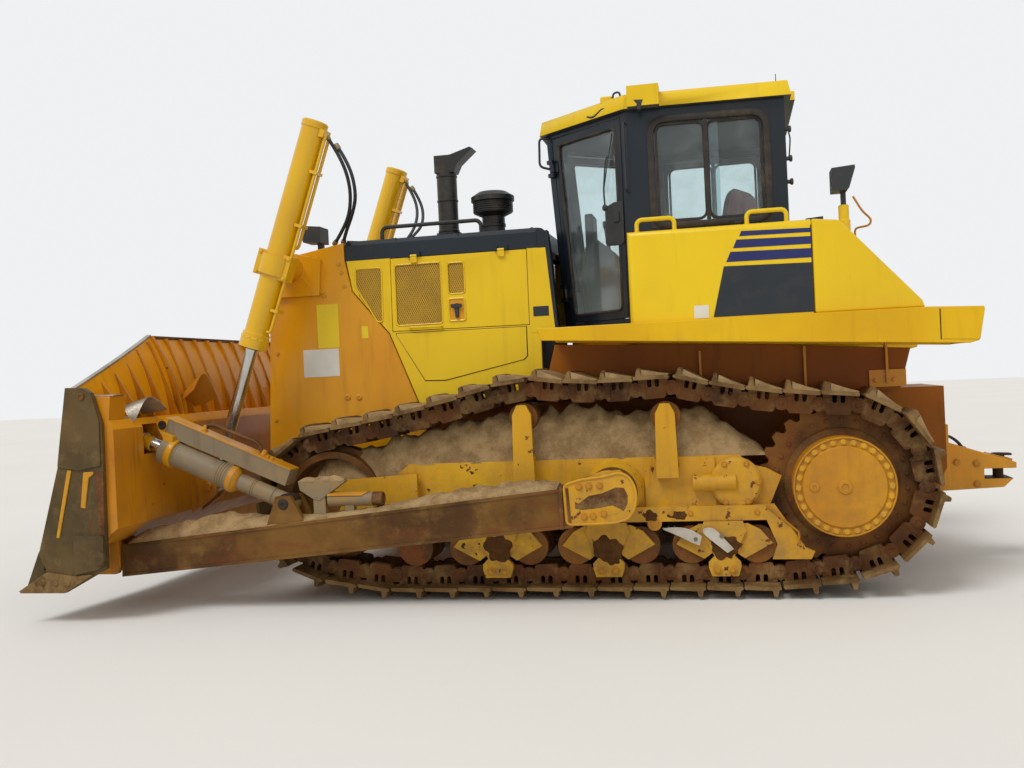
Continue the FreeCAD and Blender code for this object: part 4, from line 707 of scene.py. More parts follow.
steelTrack = dict(body="tractor", slot="track_steel")
for side, y, seed in (("left", -track["middle"], 11), ("right", track["middle"], 47)):
    shifts = np.stack([middles[:, 0], np.full(len(middles), y), middles[:, 1]], -1)
    for name, finish, points, chosen, more in (
            ("shoes_", "scouredPlate", shoePlates(seed), slice(None), dict(stands=("track_" + side,))),
            ("shoe_sand_", "packedSand", shoeSand(seed + 5), facesUp, dict(sharpAngle=50.0))):
        faces = gridShape(points[0], False, True, True)[1]
        laid = laidOut(points.reshape(len(points), -1, 3), faces, linkTurns[chosen], shifts[chosen])
        addPiece(name + side, laid, finish, **steelTrack, **more)
    addPiece("links_" + side, laidOut(*linkShapes(), linkTurns, shifts), "forgedRust", 2.0, segments=1,
             **steelTrack)
print("tracks laid:", len(along), "links a side, idler at", round(idlerX))


def heap(seed, xs, crest, ys, base, lift, step=26.0):
    # loose soil on a ledge: height over the base is crest(x) * (1 - ((y - middle) / half) ** 2) ** 0.6 and a
    # random ripple; the edges go down into the ledge
    x = np.arange(xs[0], xs[-1] + 1.0, step)
    y = np.linspace(ys[0], ys[1], 13)
    across = (y - (ys[0] + ys[1]) / 2.0) / ((ys[1] - ys[0]) / 2.0)
    dome = np.clip(1.0 - across ** 2, 0.0, 1.0) ** 0.6
    ripple = rough(seed, len(x), len(y), passes=1) * 0.5 + rough(seed + 1, len(x), len(y), passes=4) * 0.5
    foot, tall = np.interp(x, *base)[:, None], np.interp(x, xs, crest)[:, None]
    top = foot + tall * dome[None] * (1.0 + 0.28 * ripple) + lift * ripple * dome[None]
    low = np.broadcast_to(foot - 4.0, top.shape)
    points = np.zeros((len(x), 2 * len(y), 3))
    points[..., 0] = x[:, None]
    points[:, :len(y), 1] = y + rough(seed + 2, len(x), passes=3)[:, None] * 6.0 * np.sign(across)
    points[:, len(y):, 1] = points[:, :len(y), 1][:, ::-1]
    points[:, :len(y), 2] = np.maximum(top, low + 1.0)
    points[:, len(y):, 2] = low
    return gridShape(points, False, True, True)


# the frame's sand runs on over the lower cheeks of the idler, up to the wheel's rim
frameSand = dict(xs=(-3470, -3440, -3341, -3152, -2941, -2850, -2757, -2527, -2301, -2078, -1860, -1433,
                     -1224, -974, -772, -616, -499, -450),
                 crest=(20, 130, 180, 212, 232, 244, 196, 256, 294, 326, 330, 306, 288, 306, 262, 156, 60, 8),
                 ys=(-1192.0, -900.0), base=((-3470, -2870, -2780), (784, 824, 886)), lift=14.0)
# the arm's upper edge falls towards the blade
armSand = dict(xs=(-4640, -4560, -4300, -3950, -3650, -3300, -2900, -2600, -2300, -2000, -1800, -1700),
               crest=(15, 70, 95, 120, 60, 30, 26, 60, 78, 70, 58, 20), ys=(-1634.0, -1436.0),
               base=((-4676, -1644), (445, 751)), lift=9.0, step=22.0)
guardSand = dict(xs=(-3432, -3400, -3270, -3150, -3110), crest=(4, 20, 30, 24, 4), ys=(-1560.0, -1504.0),
                 base=((-3432, -3110), (829, 829)), lift=5.0, step=12.0)
onArm = partial(pair, body="push_frame", slot="arm_steel")
pair("frame_sand", [heap(21, **frameSand)], "packedSand", slot="frame_paint", sharpAngle=60.0)
onArm("arm_sand", [heap(33, **armSand)], "packedSand", sharpAngle=60.0)


def offTrack(c):
    return np.abs(np.abs(c[:, 1]) - track["middle"])


hub = dict(y=-1380.0, z=689.0)
driven = dict(slot="drive_paint")
dressed("rollers_", "oiledRust", 3.0, **driven, parts=[
    ("chippedYellow", lambda c, n: (offTrack(c) > 161.0) & (c[:, 2] < 470.0) & (c[:, 0] > -2600.0))])
dressed("final_drive_", "oiledRust", 3.0, **driven, parts=[
    ("oiledYellow", lambda c, n: (offTrack(c) > 94.0) & (np.hypot(c[:, 0], c[:, 2] - hub["z"]) < 302.0))])
# cover over the planet gears: rim, sunk ring for the bolts, flat middle with its plug
profile = [(303, -72), (304, -8), (301, -2), (293, -2), (290, -17), (253, -17), (250, -9), (243, -3),
           (150, 3), (44, 5), (41, 12), (22, 14), (16, 7)]
plug = [(30, 0), (30, 12), (24, 15), (12, 15), (11, 11)]
pair("hub_cover", [knob(profile, 0, hub["y"], hub["z"], 64),
                   knob(plug, -178, hub["y"] + 4, hub["z"] + 4, 18)],
     "oiledYellow", 1.5, segments=1, **driven)
pair("hub_bolts", boltRing((0, hub["y"] + 17, hub["z"]), 272.0, 28, 18.0, 17.0), "chippedYellow", **driven)
# the sprocket's bolted segments
pair("segment_bolts", boltRing((0, -track["middle"] - 62, hub["z"]), 395.0, 27, 12.0, 12.0, 4.0),
     "oiledRust", **driven)
print("running gear dressed")

# the push arms: worn plates, and the bolted cover over each trunnion
coverOutline = [(-1662, 528), (-1672, 770), (-1560, 802), (-1423, 815), (-1330, 838), (-1275, 815),
                (-1240, 752), (-1232, 690), (-1248, 612), (-1290, 555), (-1360, 536), (-1500, 530)]
wornPatch = [(-1607, 668), (-1585, 656), (-1519, 702), (-1440, 716), (-1354, 750), (-1305, 746), (-1284, 700),
             (-1288, 648), (-1312, 606), (-1345, 624), (-1380, 640), (-1460, 626), (-1560, 618), (-1606, 626)]
dressed("push_arm_", "rubbedPlate", 6.0, "push_frame", "arm_steel", [
    ("forgedRust", lambda c, n: (np.abs(n[:, 2]) > 0.8) & (c[:, 0] < -1700.0)),
    ("chippedYellow", lambda c, n: (c[:, 0] > -1700.0) & (np.abs(c[:, 1]) > 1560.0))])
onArm("trunnion_cover", [slab(rounded(coverOutline, 30.0), -1614, -1638), tube(
    [(x, -1638, z) for x, z in coverOutline], 9.0, 30.0, 8, True)], "chippedYellow", 2.0)
heads = ((-1578, 758), (-1517, 761), (-1450, 762), (-1553, 574), (-1498, 577), (-1432, 590))
onArm("trunnion_bolts", bolts(heads, -1638, 17.0, 15.0), "oiledYellow")
onArm("trunnion_wear", [slab(wornPatch, -1637, -1640.5)], "forgedRust", 1.5)
# the flange that closes the beam's rear end
onArm("arm_flange", [block(-1704, -1682, -1648, -1500, 500, 762)], "forgedRust", 2.0)
# pointed guard with its load of sand, its bracket, and the stub of a pipe behind it
onArm("arm_guard", [slab([(-3437, 832), (-3106, 826), (-3292, 700), (-3340, 716), (-3425, 770)], -1562,
                         -1502),
                    block(-3336, -3252, -1556, -1508, 570, 735)], "bareGrey", 4.0)
onArm("guard_sand", [heap(51, **guardSand)], "packedSand", sharpAngle=60.0)
onArm("arm_pipe", [lathe([(41, 0), (44, 6), (44, 300), (41, 306)], (-3236, -1530, 703), (1, 0, 0), 24),
                   block(-3120, -3060, -1556, -1504, 590, 690)], "bareGrey", 2.0)
onArm("pipe_end", [lathe([(20, 0), (46, 0), (46, 64), (36, 70), (32, 60), (20, 60)], (-2932, -1530, 703),
                         (1, 0, 0), 24)],
      "forgedRust", 2.0)
onArm("pipe_saddle",
      [sheetShape([[(-3236, -1572, 730), (-3000, -1572, 728)], [(-3228, -1545, 752), (-2960, -1545, 750)],
                   [(-3228, -1515, 752), (-2960, -1515, 750)],
                   [(-3236, -1488, 730), (-3000, -1488, 728)]], 4.0)], "oiledYellow")
print("push arms dressed")

# the blade: the arc of its front face, the circle through three points, from which the top edges follow
blade = dict(arc=((-4900.0, 330.0), (-4610.0, 1060.0), (-4800.0, 1870.0)), fold=1000.0, side=1970.0,
             sweep=130.0, top=1870.0, sideTop=1500.0, face=-2000.0)


def arcX(z):
    # the circle's centre is as far from all three points
    (ax, az), *others = blade["arc"]
    rows = np.array([[x - ax, y - az] for x, y in others])
    middle = np.linalg.solve(rows, np.array([x * x + y * y - ax * ax - az * az for x, y in others]) / 2.0)
    return middle[0] + math.sqrt((ax - middle[0]) ** 2 + (az - middle[1]) ** 2 - (z - middle[1]) ** 2)


def topEdge(share):
    # a point of the wing's slanting top edge, from the fold (0) to the side plate (1)
    z = blade["top"] + share * (blade["sideTop"] - blade["top"])
    y = -blade["fold"] - share * (blade["side"] - blade["fold"])
    return np.array([arcX(z) - share * blade["sweep"] + 12.0, y, z])


onBlade = partial(pair, body="blade", slot="blade_steel")
bladePaint = partial(pair, body="blade", slot="blade_paint")
# the moldboard's rear faces get a brighter amber than its shaded back would show: painted light
dressed("moldboard", "scouredPlate", 2.0, "blade", "blade_steel", [
    ("shelteredAmber", lambda c, n: (n[:, 0] > 0.35)), ("scaledPlate", lambda c, n: (n[:, 2] > 0.75))])
# the box's top faces get the brighter amber and its sides the deep amber: painted light on the tops
dressed("blade_back", "scuffedAmber", 7.0, "blade", "blade_paint", [
    ("shelteredAmber", lambda c, n: n[:, 2] > 0.2),
    ("forgedRust", lambda c, n: (n[:, 0] < -0.3) & (c[:, 0] > -4700.0))])
dressed("end_plates", "scaledPlate", 4.0, "blade", "blade_steel", [
    ("rubbedPlate", lambda c, n: (c[:, 2] < 330.0) & (np.abs(n[:, 1]) < 0.5))])
upperPlate = [(-4790, 1509), (-4666, 1504), (-4611, 1471), (-4562, 1290), (-4567, 1004), (-4640, 994),
              (-4711, 980), (-4800, 992), (-4872, 1008), (-4856, 1110)]
endBit = [(-5190, 214), (-5177, 201), (-4862, 201), (-4700, 290), (-4656, 318), (-4800, 308), (-4987, 334)]
y = blade["face"]
onBlade("blade_side_upper", [slab(upperPlate, y + 3, y - 12)], "scaledPlate", 4.0)
onBlade("end_bit",
        [slab(endBit, y + 3, y - 16), *(knob([(19, 0), (19, 4), (12, 9)], x, y - 15, z, 14) for x, z in (
    (-5010, 272), (-4920, 262), (-4830, 262)))], "scouredPlate", 3.0)
bladePaint("side_ribs", [slab(outline, y + 3, y - 8) for outline in (
    [(-4806, 984), (-4776, 982), (-4886, 548), (-4906, 556)],
    [(-4692, 968), (-4620, 970), (-4622, 952), (-4656, 930), (-4690, 736), (-4722, 744)])], "oiledYellow",
           4.0)
onBlade("side_wear", [slab([(-4612, 966), (-4553, 972), (-4562, 560), (-4600, 566)], y + 3, y - 4)],
        "forgedRust", 1.0)
onBlade("side_plugs", [knob([(24, 0), (24, 8), (20, 11), (13, 11), (12, 7)], -4677, y - 11, 1449),
                       knob([(47, 0), (47, 3), (40, 7), (30, 7), (27, 3)], -4604, -2022, 420, 28)],
        "rubbedPlate", 1.0)
# flat bars along the top edges
edges = np.array([topEdge(s) for s in np.linspace(0.0, 1.0, 7)])
onBlade("wing_bar", [carried([(-22, -6), (14, -6), (14, 8), (-22, 8)], edges, turnTo=upwards)],
        "polishedPlate", 3.0)
# the rib behind the fold follows the arc and grows deeper towards the box
heights = np.linspace(1866.0, 1286.0, 9)
rib = [(arcX(z) + 12.0, z) for z in heights] + [(arcX(z) + 46.0 + (1866.0 - z) * 0.066, z)
                                                for z in heights[::-1]]
bladePaint("fold_rib", [slab(rib, -blade["fold"] - 11, -blade["fold"] + 11)], "scuffedAmber", 3.0)
# bent cover sheets over the two cylinder eyes, and the small one in the corner of the side plate
onBlade("tilt_eye_cover", [sheetShape([
    [(-4664, -1765, 1304), (-4640, -1765, 1268), (-4560, -1740, 1244), (-4500, -1700, 1268)],
    [(-4656, -1650, 1345), (-4606, -1640, 1396), (-4534, -1620, 1436), (-4456, -1590, 1460)],
    [(-4634, -1430, 1306), (-4600, -1415, 1308), (-4534, -1400, 1316), (-4440, -1390, 1334)]], 7.0, 3)],
        "polishedPlate", sharpAngle=60.0)
bladePaint("lift_eye_cover", [sheetShape([
    [(-4612, -985, 1345), (-4560, -985, 1380), (-4500, -985, 1420), (-4451, -980, 1462)],
    [(-4580, -930, 1440), (-4520, -930, 1510), (-4460, -925, 1575), (-4400, -920, 1621)],
    [(-4560, -800, 1340), (-4490, -800, 1350), (-4430, -800, 1370), (-4368, -800, 1400)]], 7.0, 3)],
           "scuffedAmber", sharpAngle=60.0)
bladePaint("corner_box", [slab([(-4650, 1288), (-4660, 1442), (-4500, 1442), (-4520, 1288)], -1968, -1780)],
           "scuffedAmber", 7.0)
onBlade("corner_lip",
        [sheetShape([[(-4664, -1966, 1443), (-4480, -1966, 1444)],
                     [(-4660, -1900, 1450), (-4484, -1900, 1450)],
                     [(-4640, -1800, 1444), (-4500, -1800, 1444)]], 5.0)], "polishedPlate")
addPiece("top_bar", [block(arcX(1870) - 6, arcX(1870) + 46, -1000, 1000, 1846, 1868)], "forgedRust", 4.0,
         "blade", "blade_steel")
print("blade dressed")


class Axis:
    # places along and above a cylinder that swings in the side view: foot + s * way + h * up
    def __init__(self, foot, eye, y, upward):
        self.foot, self.y = np.array([foot[0], y, foot[1]]), y
        way = np.array([eye[0] - foot[0], 0.0, eye[1] - foot[1]])
        self.way = way / np.linalg.norm(way)
        self.up = np.array([self.way[2], 0.0, -self.way[0]]) * upward

    def at(self, s, h=0.0, y=0.0):
        return self.foot + self.way * s + self.up * h + np.array([0.0, y, 0.0])

    def ring(self, profile, sides=32):
        # (radius, place along the axis) pairs
        return lathe(profile, self.foot, self.way, sides)

    def plate(self, outline, y0, y1):
        # an outline of (s, h) pairs
        return slab([self.at(s, h)[[0, 2]] for s, h in outline], self.y + y0, self.y + y1)

    def share(self, centres):
        off = centres[:, [0, 2]] - self.foot[[0, 2]]
        return off @ self.way[[0, 2]], off @ self.up[[0, 2]]


tilt = Axis((-3515.0, 690.0), (-4578.0, 1150.0), -1530.0, 1.0)
lift = Axis((-3800.0, 2322.0), (-4360.0, 760.0), -930.0, -1.0)


def topFace(c, n):
    return (n[:, [0, 2]] @ tilt.up[[0, 2]] > 0.8) & ((tilt.share(c)[1] > 190.0) | (tilt.share(c)[0] > 900.0))


onTilt = partial(pair, body="tilt_barrel_", slot="cylinder_paint")
onLift = partial(pair, body="lift_barrel_", slot="cylinder_paint")
dressed("tilt_barrel_", "bareGrey", 3.0, "tilt_barrel_", "cylinder_paint", [
    ("enamelYellow", topFace), ("enamelYellow", lambda c, n: tilt.share(c)[0] > 1005.0),
    ("darkCasting", lambda c, n: np.abs(tilt.share(c)[0]) < 50.0)])
# gland collar, the band's saddle, and the cover's yellow nose with its round boss
onTilt("tilt_collars", [tilt.ring([(83, 862), (99, 866), (101, 900), (97, 908), (88, 914)]),
                        tilt.ring([(58, 372), (70, 378), (86, 398), (91, 404), (91, 436), (84, 444)]),
                        tilt.plate([(886, 60), (946, 60), (1000, 118), (900, 118)], -62, 46),
                        tilt.plate([(985, 90), (1012, 90), (1066, 150), (1012, 211), (985, 211)], -25, 124),
                        tilt.plate(rectangle(60, 1010, 205, 213), -23, 122)], "oiledYellow", 3.0)
grooves = [tilt.ring([(82, s), (86, s + 2), (86, s + 9), (82, s + 11)]) for s in (462, 480, 498, 516, 846)]
grooves += [tilt.ring([(57, s), (60, s + 2), (60, s + 8), (57, s + 10)], 24) for s in (110, 250, 264)]
onTilt("tilt_bands", grooves, "bareGrey")
onTilt("tilt_bosses", [knob([(30, 0), (30, 8), (26, 12), (15, 12), (13, 6)], *tilt.at(1016, 152, -23)),
                       knob([(34, 0), (34, 5), (28, 9), (12, 9), (10, 4)], *tilt.at(0, 0, -99))],
       "darkCasting")
# grab handle along the cover
handle = [tilt.at(s, h, 50) for s, h in ((752, 208), (736, 268), (352, 276), (300, 208))]
onTilt("tilt_handle", [tube(handle, 13.0, 50.0, 12)], "rubbedPlate")
feet = [lathe([(24, 0), (24, 10), (18, 22), (15, 40)], tilt.at(s, 208, 50), tilt.up, 16) for s in (752, 298)]
feet += [tilt.plate([(s - 16, 208), (s + 16, 208), (s + 10, 226), (s - 10, 226)], 20, 44) for s in (228, 262)]
onTilt("handle_feet", feet, "oiledYellow", 2.0)
# the rod's painted end
pair("tilt_rod_end", [tilt.ring([(45.5, 1046), (50, 1050), (50, 1106), (46, 1116)], 28)], "oiledYellow",
     body="tilt_rod_", slot="cylinder_paint")
ends = [lift.ring([(60, -1062), (84, -1062), (95, -1052), (95, -1014), (88, -1006)]),
        lift.ring([(89, 500), (98, 506), (98, 538), (104, 544)])]
ends += [bolt(lift.at(544) + 96 * (math.cos(t) * lift.up + math.sin(t) * np.array([0, 1, 0])), 9, 12,
              -lift.way, False)
         for t in np.arange(12) * math.pi / 6]
# trunnion yoke: a split block bolted round the barrel
ends += [lift.plate(rectangle(-92, 92, -128, 128), -60, 62)]
ends += [bolt(lift.at(s, h, -60), 13, 12) for s in (-72, 72) for h in (-108, 108)]
# oil pipes down the rear of the barrel, their ports and clips
ends += [tube([lift.at(s, h, y) for s, h in ((-990, 78), (-990, 116), (foot, 116), (foot, 84))], 12.0, 40.0,
              10)
         for y, foot in ((-34, 470), (34, -160))]
ends += [lift.plate(rectangle(-1016, -960, 70, 108), -60, 60)]
ends += [lift.plate(rectangle(s, s + 22, 78, 134), -56, 56) for s in (-720, -330, 300)]
onLift("lift_fittings", ends, "barrelYellow", 2.5)
onLift("lift_wiper", [lift.ring([(44, 606), (72, 606), (76, 612), (76, 618), (60, 624), (45, 622)], 28)],
       "mouldedPlastic")
print("cylinders dressed")

# the hoses hang from the cylinder's head to the guard's top corner: (x, y, z) of each route in mm
hose = dict(radius=13.0, routes=[
    [(-3380.0 + s, 900.0, 3220.0 - s), (-3290.0 + s, 900.0, 3080.0 - s),
     (-3240.0 + s * 0.6, 840.0, 2880.0 - s), (-3290.0 + s * 0.3, 730.0, 2690.0),
     (-3420.0 + s * 0.5, 600.0, 2560.0), (-3500.0 + s, 530.0, 2500.0)]
    for s in (0.0, 70.0)])


def sweptHose(points, radius):
    # one NURBS line through its control points: the tube swept along it and the line itself, both as meshes
    data = bpy.data.curves.new("hose_line", "CURVE")
    data.dimensions, data.resolution_u = "3D", 16
    line = data.splines.new("NURBS")
    line.points.add(len(points) - 1)
    for point, place in zip(line.points, points):
        point.co = (*place, 1.0)
    line.order_u, line.use_endpoint_u = 3, True
    carrier = bpy.data.objects.new("hose_line", data)
    centre = np.array([v.co for v in bpy.data.meshes.new_from_object(carrier).vertices])
    data.bevel_depth, data.bevel_resolution, data.use_fill_caps = radius, 4, True
    made = bpy.data.meshes.new_from_object(carrier)
    bpy.data.objects.remove(carrier)
    shell = bmesh.new()
    shell.from_mesh(made)
    bmesh.ops.remove_doubles(shell, verts=shell.verts, dist=0.0001)
    bmesh.ops.recalc_face_normals(shell, faces=shell.faces)
    shell.to_mesh(made)
    shell.free()
    made.shade_smooth()
    made.materials.clear()
    made.materials.append(finishes["hoseRubber"])
    return made, centre


# the routes are those of the right side
for side, turn in zip(sides, (-1.0, 1.0)):
    for number, route in enumerate(hose["routes"]):
        points = metres(np.array(route) * (1.0, turn, 1.0))
        made, centre = sweptHose(points, hose["radius"] / 1000.0)
        cord = bpy.data.objects.new("lift_hose_%s_%d" % (side, number), made)
        bpy.context.scene.collection.objects.link(cord)
        if number == 0:
            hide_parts("lift_hoses_" + side)
        tuple(points[0])
        tuple(points[-1])
        tuple(points[0])
        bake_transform(cord)
for body, first, second, name in (("lift_barrel_", 0, 1, "hose_heads"), ("tractor", -1, -2, "hose_feet")):
    ends = [lathe([(15, -6), (19, 0), (19, 30), (15, 40)], route[first],
                  np.subtract(route[second], route[first]), 12)
            for route in hose["routes"]]
    pair(name, [mirroredY(end) for end in ends], "platedBolt", body=body, slot="hose_rubber")
print("hoses laid")

# hood and guard: skins, screens, latch and plates on the flat side
hood = dict(side=-620, screen=[(-3314, 2292), (-3112, 2290), (-3118, 1895), (-3156, 1890), (-3314, 2158)],
            panel=[(-3018, 1800), (-3018, 1788), (-2814, 1450), (-2661, 1446), (-2079, 1567), (-2055, 1590),
                   (-2053, 1798)])
y = hood["side"]
dark, onDoor = dict(slot="dark_paint"), dict(body="engine_door_")
# the guard skin's darker orange amber is painted shade with some baked dust
pair("guard_skin",
     [slab([(-4058, 824), (-2840, 824), (-2840, 1176), (-3082, 1800), (-3350, 2125), (-3400, 2357),
            (-3983, 2357)], y + 3, y - 4)], "enamelAmber", 2.0)
studs = bolts(((-3675, 2338), (-3440, 2335), (-3420, 2272), (-3402, 2170), (-3960, 2330), (-3955, 1700),
               (-3990, 1200)),
              y - 4, 12, 9)
studs += [knob([(22, 0), (22, 6), (17, 9), (9, 9), (8, 5)], x, y - 4, z, 20)
          for x, z in ((-3564, 2114), (-3417, 1352), (-3328, 1348))]
pair("guard_bolts", studs, "oiledYellow")
for name, finish, corner, corners in (("hand_plate", "lemonPlate", 6, (-3628, -3460, 1724, 2046)),
                                      ("blank_plate", "whitePlate", 6, (-3750, -3470, 1512, 1716)),
                                      ("small_plate", "lemonPlate", 6, (-3284, -3233, 1779, 1868))):
    pair(name, [slab(rounded(rectangle(*corners), corner), y - 3, y - 6.5)], finish)
pair("side_plate", [slab(rounded(rectangle(-1996, -1884, 1868, 1938), 5), y - 1, y - 4)], "slatePlate")
pair("front_screen", [slab(hood["screen"], y + 6, y - 1)], "expandedMesh", slot="grille_paint")
# the panel under the door lies on a dark seal that shows as its seam
centre = np.mean(hood["panel"], axis=0)
pair("panel_seal", [slab(centre + (np.array(hood["panel"]) - centre) * (1.012, 1.03), y + 2, y - 1.5)],
     "windowRubber")
pair("lower_panel", [slab(hood["panel"], y + 2, y - 6), beadRound(hood["screen"], y - 2, 6.0)],
     "enamelYellow", 2.5)
# what moves with the engine door
wide, narrow = rectangle(-3013, -2664, 1858, 2300), rectangle(-2613, -2489, 2065, 2290)
pair("door_screens", [slab(wide, y + 9, y + 5), slab(narrow, y + 9, y + 5)], "expandedMesh",
     slot="grille_paint", **onDoor)
pair("door_trim", [beadRound(wide, y - 1, 5.0), beadRound(narrow, y - 1, 5.0),
                   beadRound(rectangle(-2614, -2494, 1870, 2030), y - 2, 7.0, 18.0),
                   tube([(-2910, y, 1838), (-2910, y - 26, 1838), (-2672, y - 26, 1836), (-2672, y, 1836)],
                        8.0, 26.0, 10)],
     "enamelYellow", **onDoor)
pair("latch_pan", [slab(rectangle(-2612, -2496, 1872, 2028), y + 3, y - 1)], "enamelAmber", **onDoor)
pair("latch", [slab(rounded([(-2594, 1962), (-2514, 1962), (-2512, 1990), (-2596, 1990)], 10), y - 14,
                    y - 26),
               slab(rounded([(-2564, 1890), (-2543, 1890), (-2538, 1970), (-2570, 1970)], 8), y + 1, y - 20),
               knob([(20, 0), (20, 12), (12, 16)], -2554, y, 1976, 16)], "mouldedPlastic", 2.0, **onDoor,
     **dark)
# wedge panel and slate edge between the hood and the cab
pair("wedge_panel", [slab([(-2022, 2352), (-2026, 1752), (-1842, 1752), (-1888, 2352)], y + 26, y - 2),
                     slab([(-1893, 2352), (-1847, 1752), (-1842, 1752), (-1888, 2352)], y + 24, y + 120)],
     "enamelYellow", 3.0)
rearEdge = [(-1952, 2352), (-1888, 2352), (-1885, 2470), (-1912, 2492), (-1952, 2498)]
pair("hood_edge",
     [slab([(-1896, 2470), (-1890, 2352), (-1844, 1750), (-1818, 1750), (-1860, 2380), (-1872, 2478)],
           y - 4, y + 90), slab(rearEdge, y, y + 300)], "slateEnamel", 6.0, **dark)
addPiece("hood_rear_edge", [slab(rearEdge, -330, 330)], "slateEnamel", 6.0, **dark)
pair("lamp_lenses", [slab([(-556, 2536), (-384, 2536), (-388, 2640), (-552, 2640)], -3738, -3746, "x"),
                     slab([(113, 2512), (121, 2510), (163, 2640), (155, 2642)], -1204, -1056)],
     "lampLens", 4.0, slot="lamp_black")
seams = [block(x - 3, x + 3, -604, 604, 2498, 2503.5) for x in (-3000.0, -2530.0)]
seams += [lathe([(14, 0), (14, 4), (9, 8)], (x, y, 2500), upwards, 12) for x in (-3340, -3030, -2560, -1990)
          for y in (-560, 560)]
addPiece("hood_seams", seams, "stoveBlack", **dark)
stack = [lathe([(79, s), (83, s + 4), (83, s + 16), (79, s + 20)], (-2750, 0, 2501), upwards, 40)
         for s in (95, 330, 520)]
stack += [lathe([(152, 0), (156, 3), (156, 9), (152, 12)], (-2390, 0, 2726 + 16 * i), upwards, 40)
          for i in range(5)]
stack += [lathe([(89, 0), (94, 5), (94, 22), (89, 27)], (-2390, 0, 2610), upwards, 40)]
addPiece("stack_clamps", stack, "stoveBlack", slot="exhaust_black")
dressed("handrails", "enamelYellow", 0.0, slot="rail_paint",
        parts=[("stoveBlack", lambda c, n: c[:, 0] < -2000.0)])
print("hood dressed")

# cab: places on its straight side and on the plane of its angled door, both drawn for the left side
cab = dict(side=838.0, pillar=-1259.0, rear=-220.0, taper=38.0, slope=0.85)
slant, outward = np.array([[-1.0, cab["slope"], 0.0], [-cab["slope"], -1.0,
                                                       0.0]]) / math.hypot(1.0, cab["slope"])


def sideY(x):
    return -(cab["side"] - (x - cab["pillar"]) * cab["taper"] / (cab["rear"] - cab["pillar"]))


def doorAt(s, z, out=0.0):
    # s along the door from the pillar forwards, out from its outer face
    return np.array([cab["pillar"], -cab["side"], z]) + slant * s + outward * out


def doorPlate(outline, back, front):
    return gridShape(np.stack([[doorAt(s, z, out) for s, z in outline] for out in (back, front)]), False,
                     True, True)


def sideFrame(x0, x1, z0, z1, corner, section, out=0.0):
    # a seal with round corners in the plane of the side window
    path = roundedPath([(x, 0.0, z) for x, z in rectangle(x0, x1, z0, z1)], corner, 8, True)
    path[:, 1] = [sideY(x) - out for x in path[:, 0]]
    return carried(section, path, True, (0, 1, 0))


glazed, fixed = dict(slot="window_glass"), dict(body="cab_door_")
wide = [(-22, 8), (22, 8), (22, -10), (16, -14), (-16, -14), (-22, -10)]
slim = [(-9, -8), (9, -8), (9, 7), (-9, 7)]
rubber = [sideFrame(-1103, -342, 2412, 3128, 110.0, wide),
          sideFrame(-1066, -750, 2446, 3094, 60.0, slim, -8.0),
          sideFrame(-728, -378, 2446, 3094, 60.0, slim, -16.0),
          slab(rectangle(-752, -724, 2420, 3120), sideY(-738) - 8, sideY(-738) + 24)]
rubber += [slab([(x, z), (x + 72 * a, z), (x, z + 72 * b)], sideY(x) - 2, sideY(x) + 14)
           for x, z, a, b in ((-1115, 2400, 1, 1), (-330, 2400, -1, 1), (-330, 3140, -1, -1),
                              (-1115, 3140, 1, -1))]
pair("sliding_pane", [slab(rectangle(-736, -340, 2410, 3130), sideY(-738) + 36, sideY(-738) + 42)],
     "floatGlass", **glazed)
pair("window_seal", rubber, "windowRubber", sharpAngle=50.0, **glazed)
gasket = roundedPath([doorAt(s, z, -4) for s, z in ((116, 1866), (602, 1866), (716, 3115), (116, 3115))],
                     46.0, 5, True)
pair("door_seal",
     [carried(disc(11.0, 8), gasket, True), doorPlate([(112, 3119), (146, 3119), (112, 3085)], -20, -5),
      doorPlate([(720, 3119), (682, 3119), (717, 3082)], -20, -5)], "windowRubber", **fixed, **glazed)
# what is fixed to the door: lock case, wiper with its arm
pair("door_lock",
     [doorPlate([(62, 2604), (150, 2612), (232, 2590), (240, 2560), (240, 2380), (250, 2346), (228, 2322),
                 (86, 2310), (62, 2330)], -32, 10),
      doorPlate([(96, 2540), (150, 2540), (150, 2470), (96, 2470)], 10, 20)],
     "mouldedPlastic", 5.0, **fixed, **dark)
wiper = [tube([doorAt(238, 2590, 6), doorAt(224, 2700, 26), doorAt(196, 2890, 26), doorAt(190, 2930, 14)],
              6.0, 30.0, 8),
         carried([(-5, -3), (5, -3), (8, 0), (5, 3), (-5, 3), (-8, 0)],
                 [doorAt(250, 2700, 2), doorAt(196, 2890, 4), doorAt(140, 3080, 2)]),
         lathe([(22, 0), (22, 14), (14, 20)], doorAt(238, 2586, 0), outward, 16)]
pair("door_wiper", wiper, "mouldedPlastic", **fixed, **dark)
# tubes on the cab: bar behind the door, grab loop, strap on the rear corner, lamp bracket and its cable
bars = [tube(points, *sizes) for points, sizes in (
    ([(-1262, -832, 2664), (-1276, -872, 2664), (-1276, -872, 3122), (-1262, -832, 3122)], (8.0, 20.0, 10)),
    ([(-1876, -318, 3186), (-1946, -330, 3190), (-1952, -330, 2980), (-1868, -318, 2956)], (9.0, 36.0, 10)),
    ([(-204, -792, 2990), (-192, -800, 2930), (-198, -800, 2860), (-204, -792, 2806)], (5.0, 20.0, 8)),
    ([(-1352, -745, 3300), (-1346, -762, 3352), (-1300, -772, 3354), (-1292, -790, 3262),
      (-1330, -800, 3226)],
     (7.0, 24.0, 10)),
    ([(-1545, -640, 3236), (-1500, -690, 3214), (-1420, -740, 3262), (-1340, -792, 3228)], (8.0, 30.0, 8)))]
bars += [lathe([(15, 0), (15, 10), (11, 14)], (-1266, -838, z), (-0.2, -1, 0), 12) for z in (2664, 3122)]
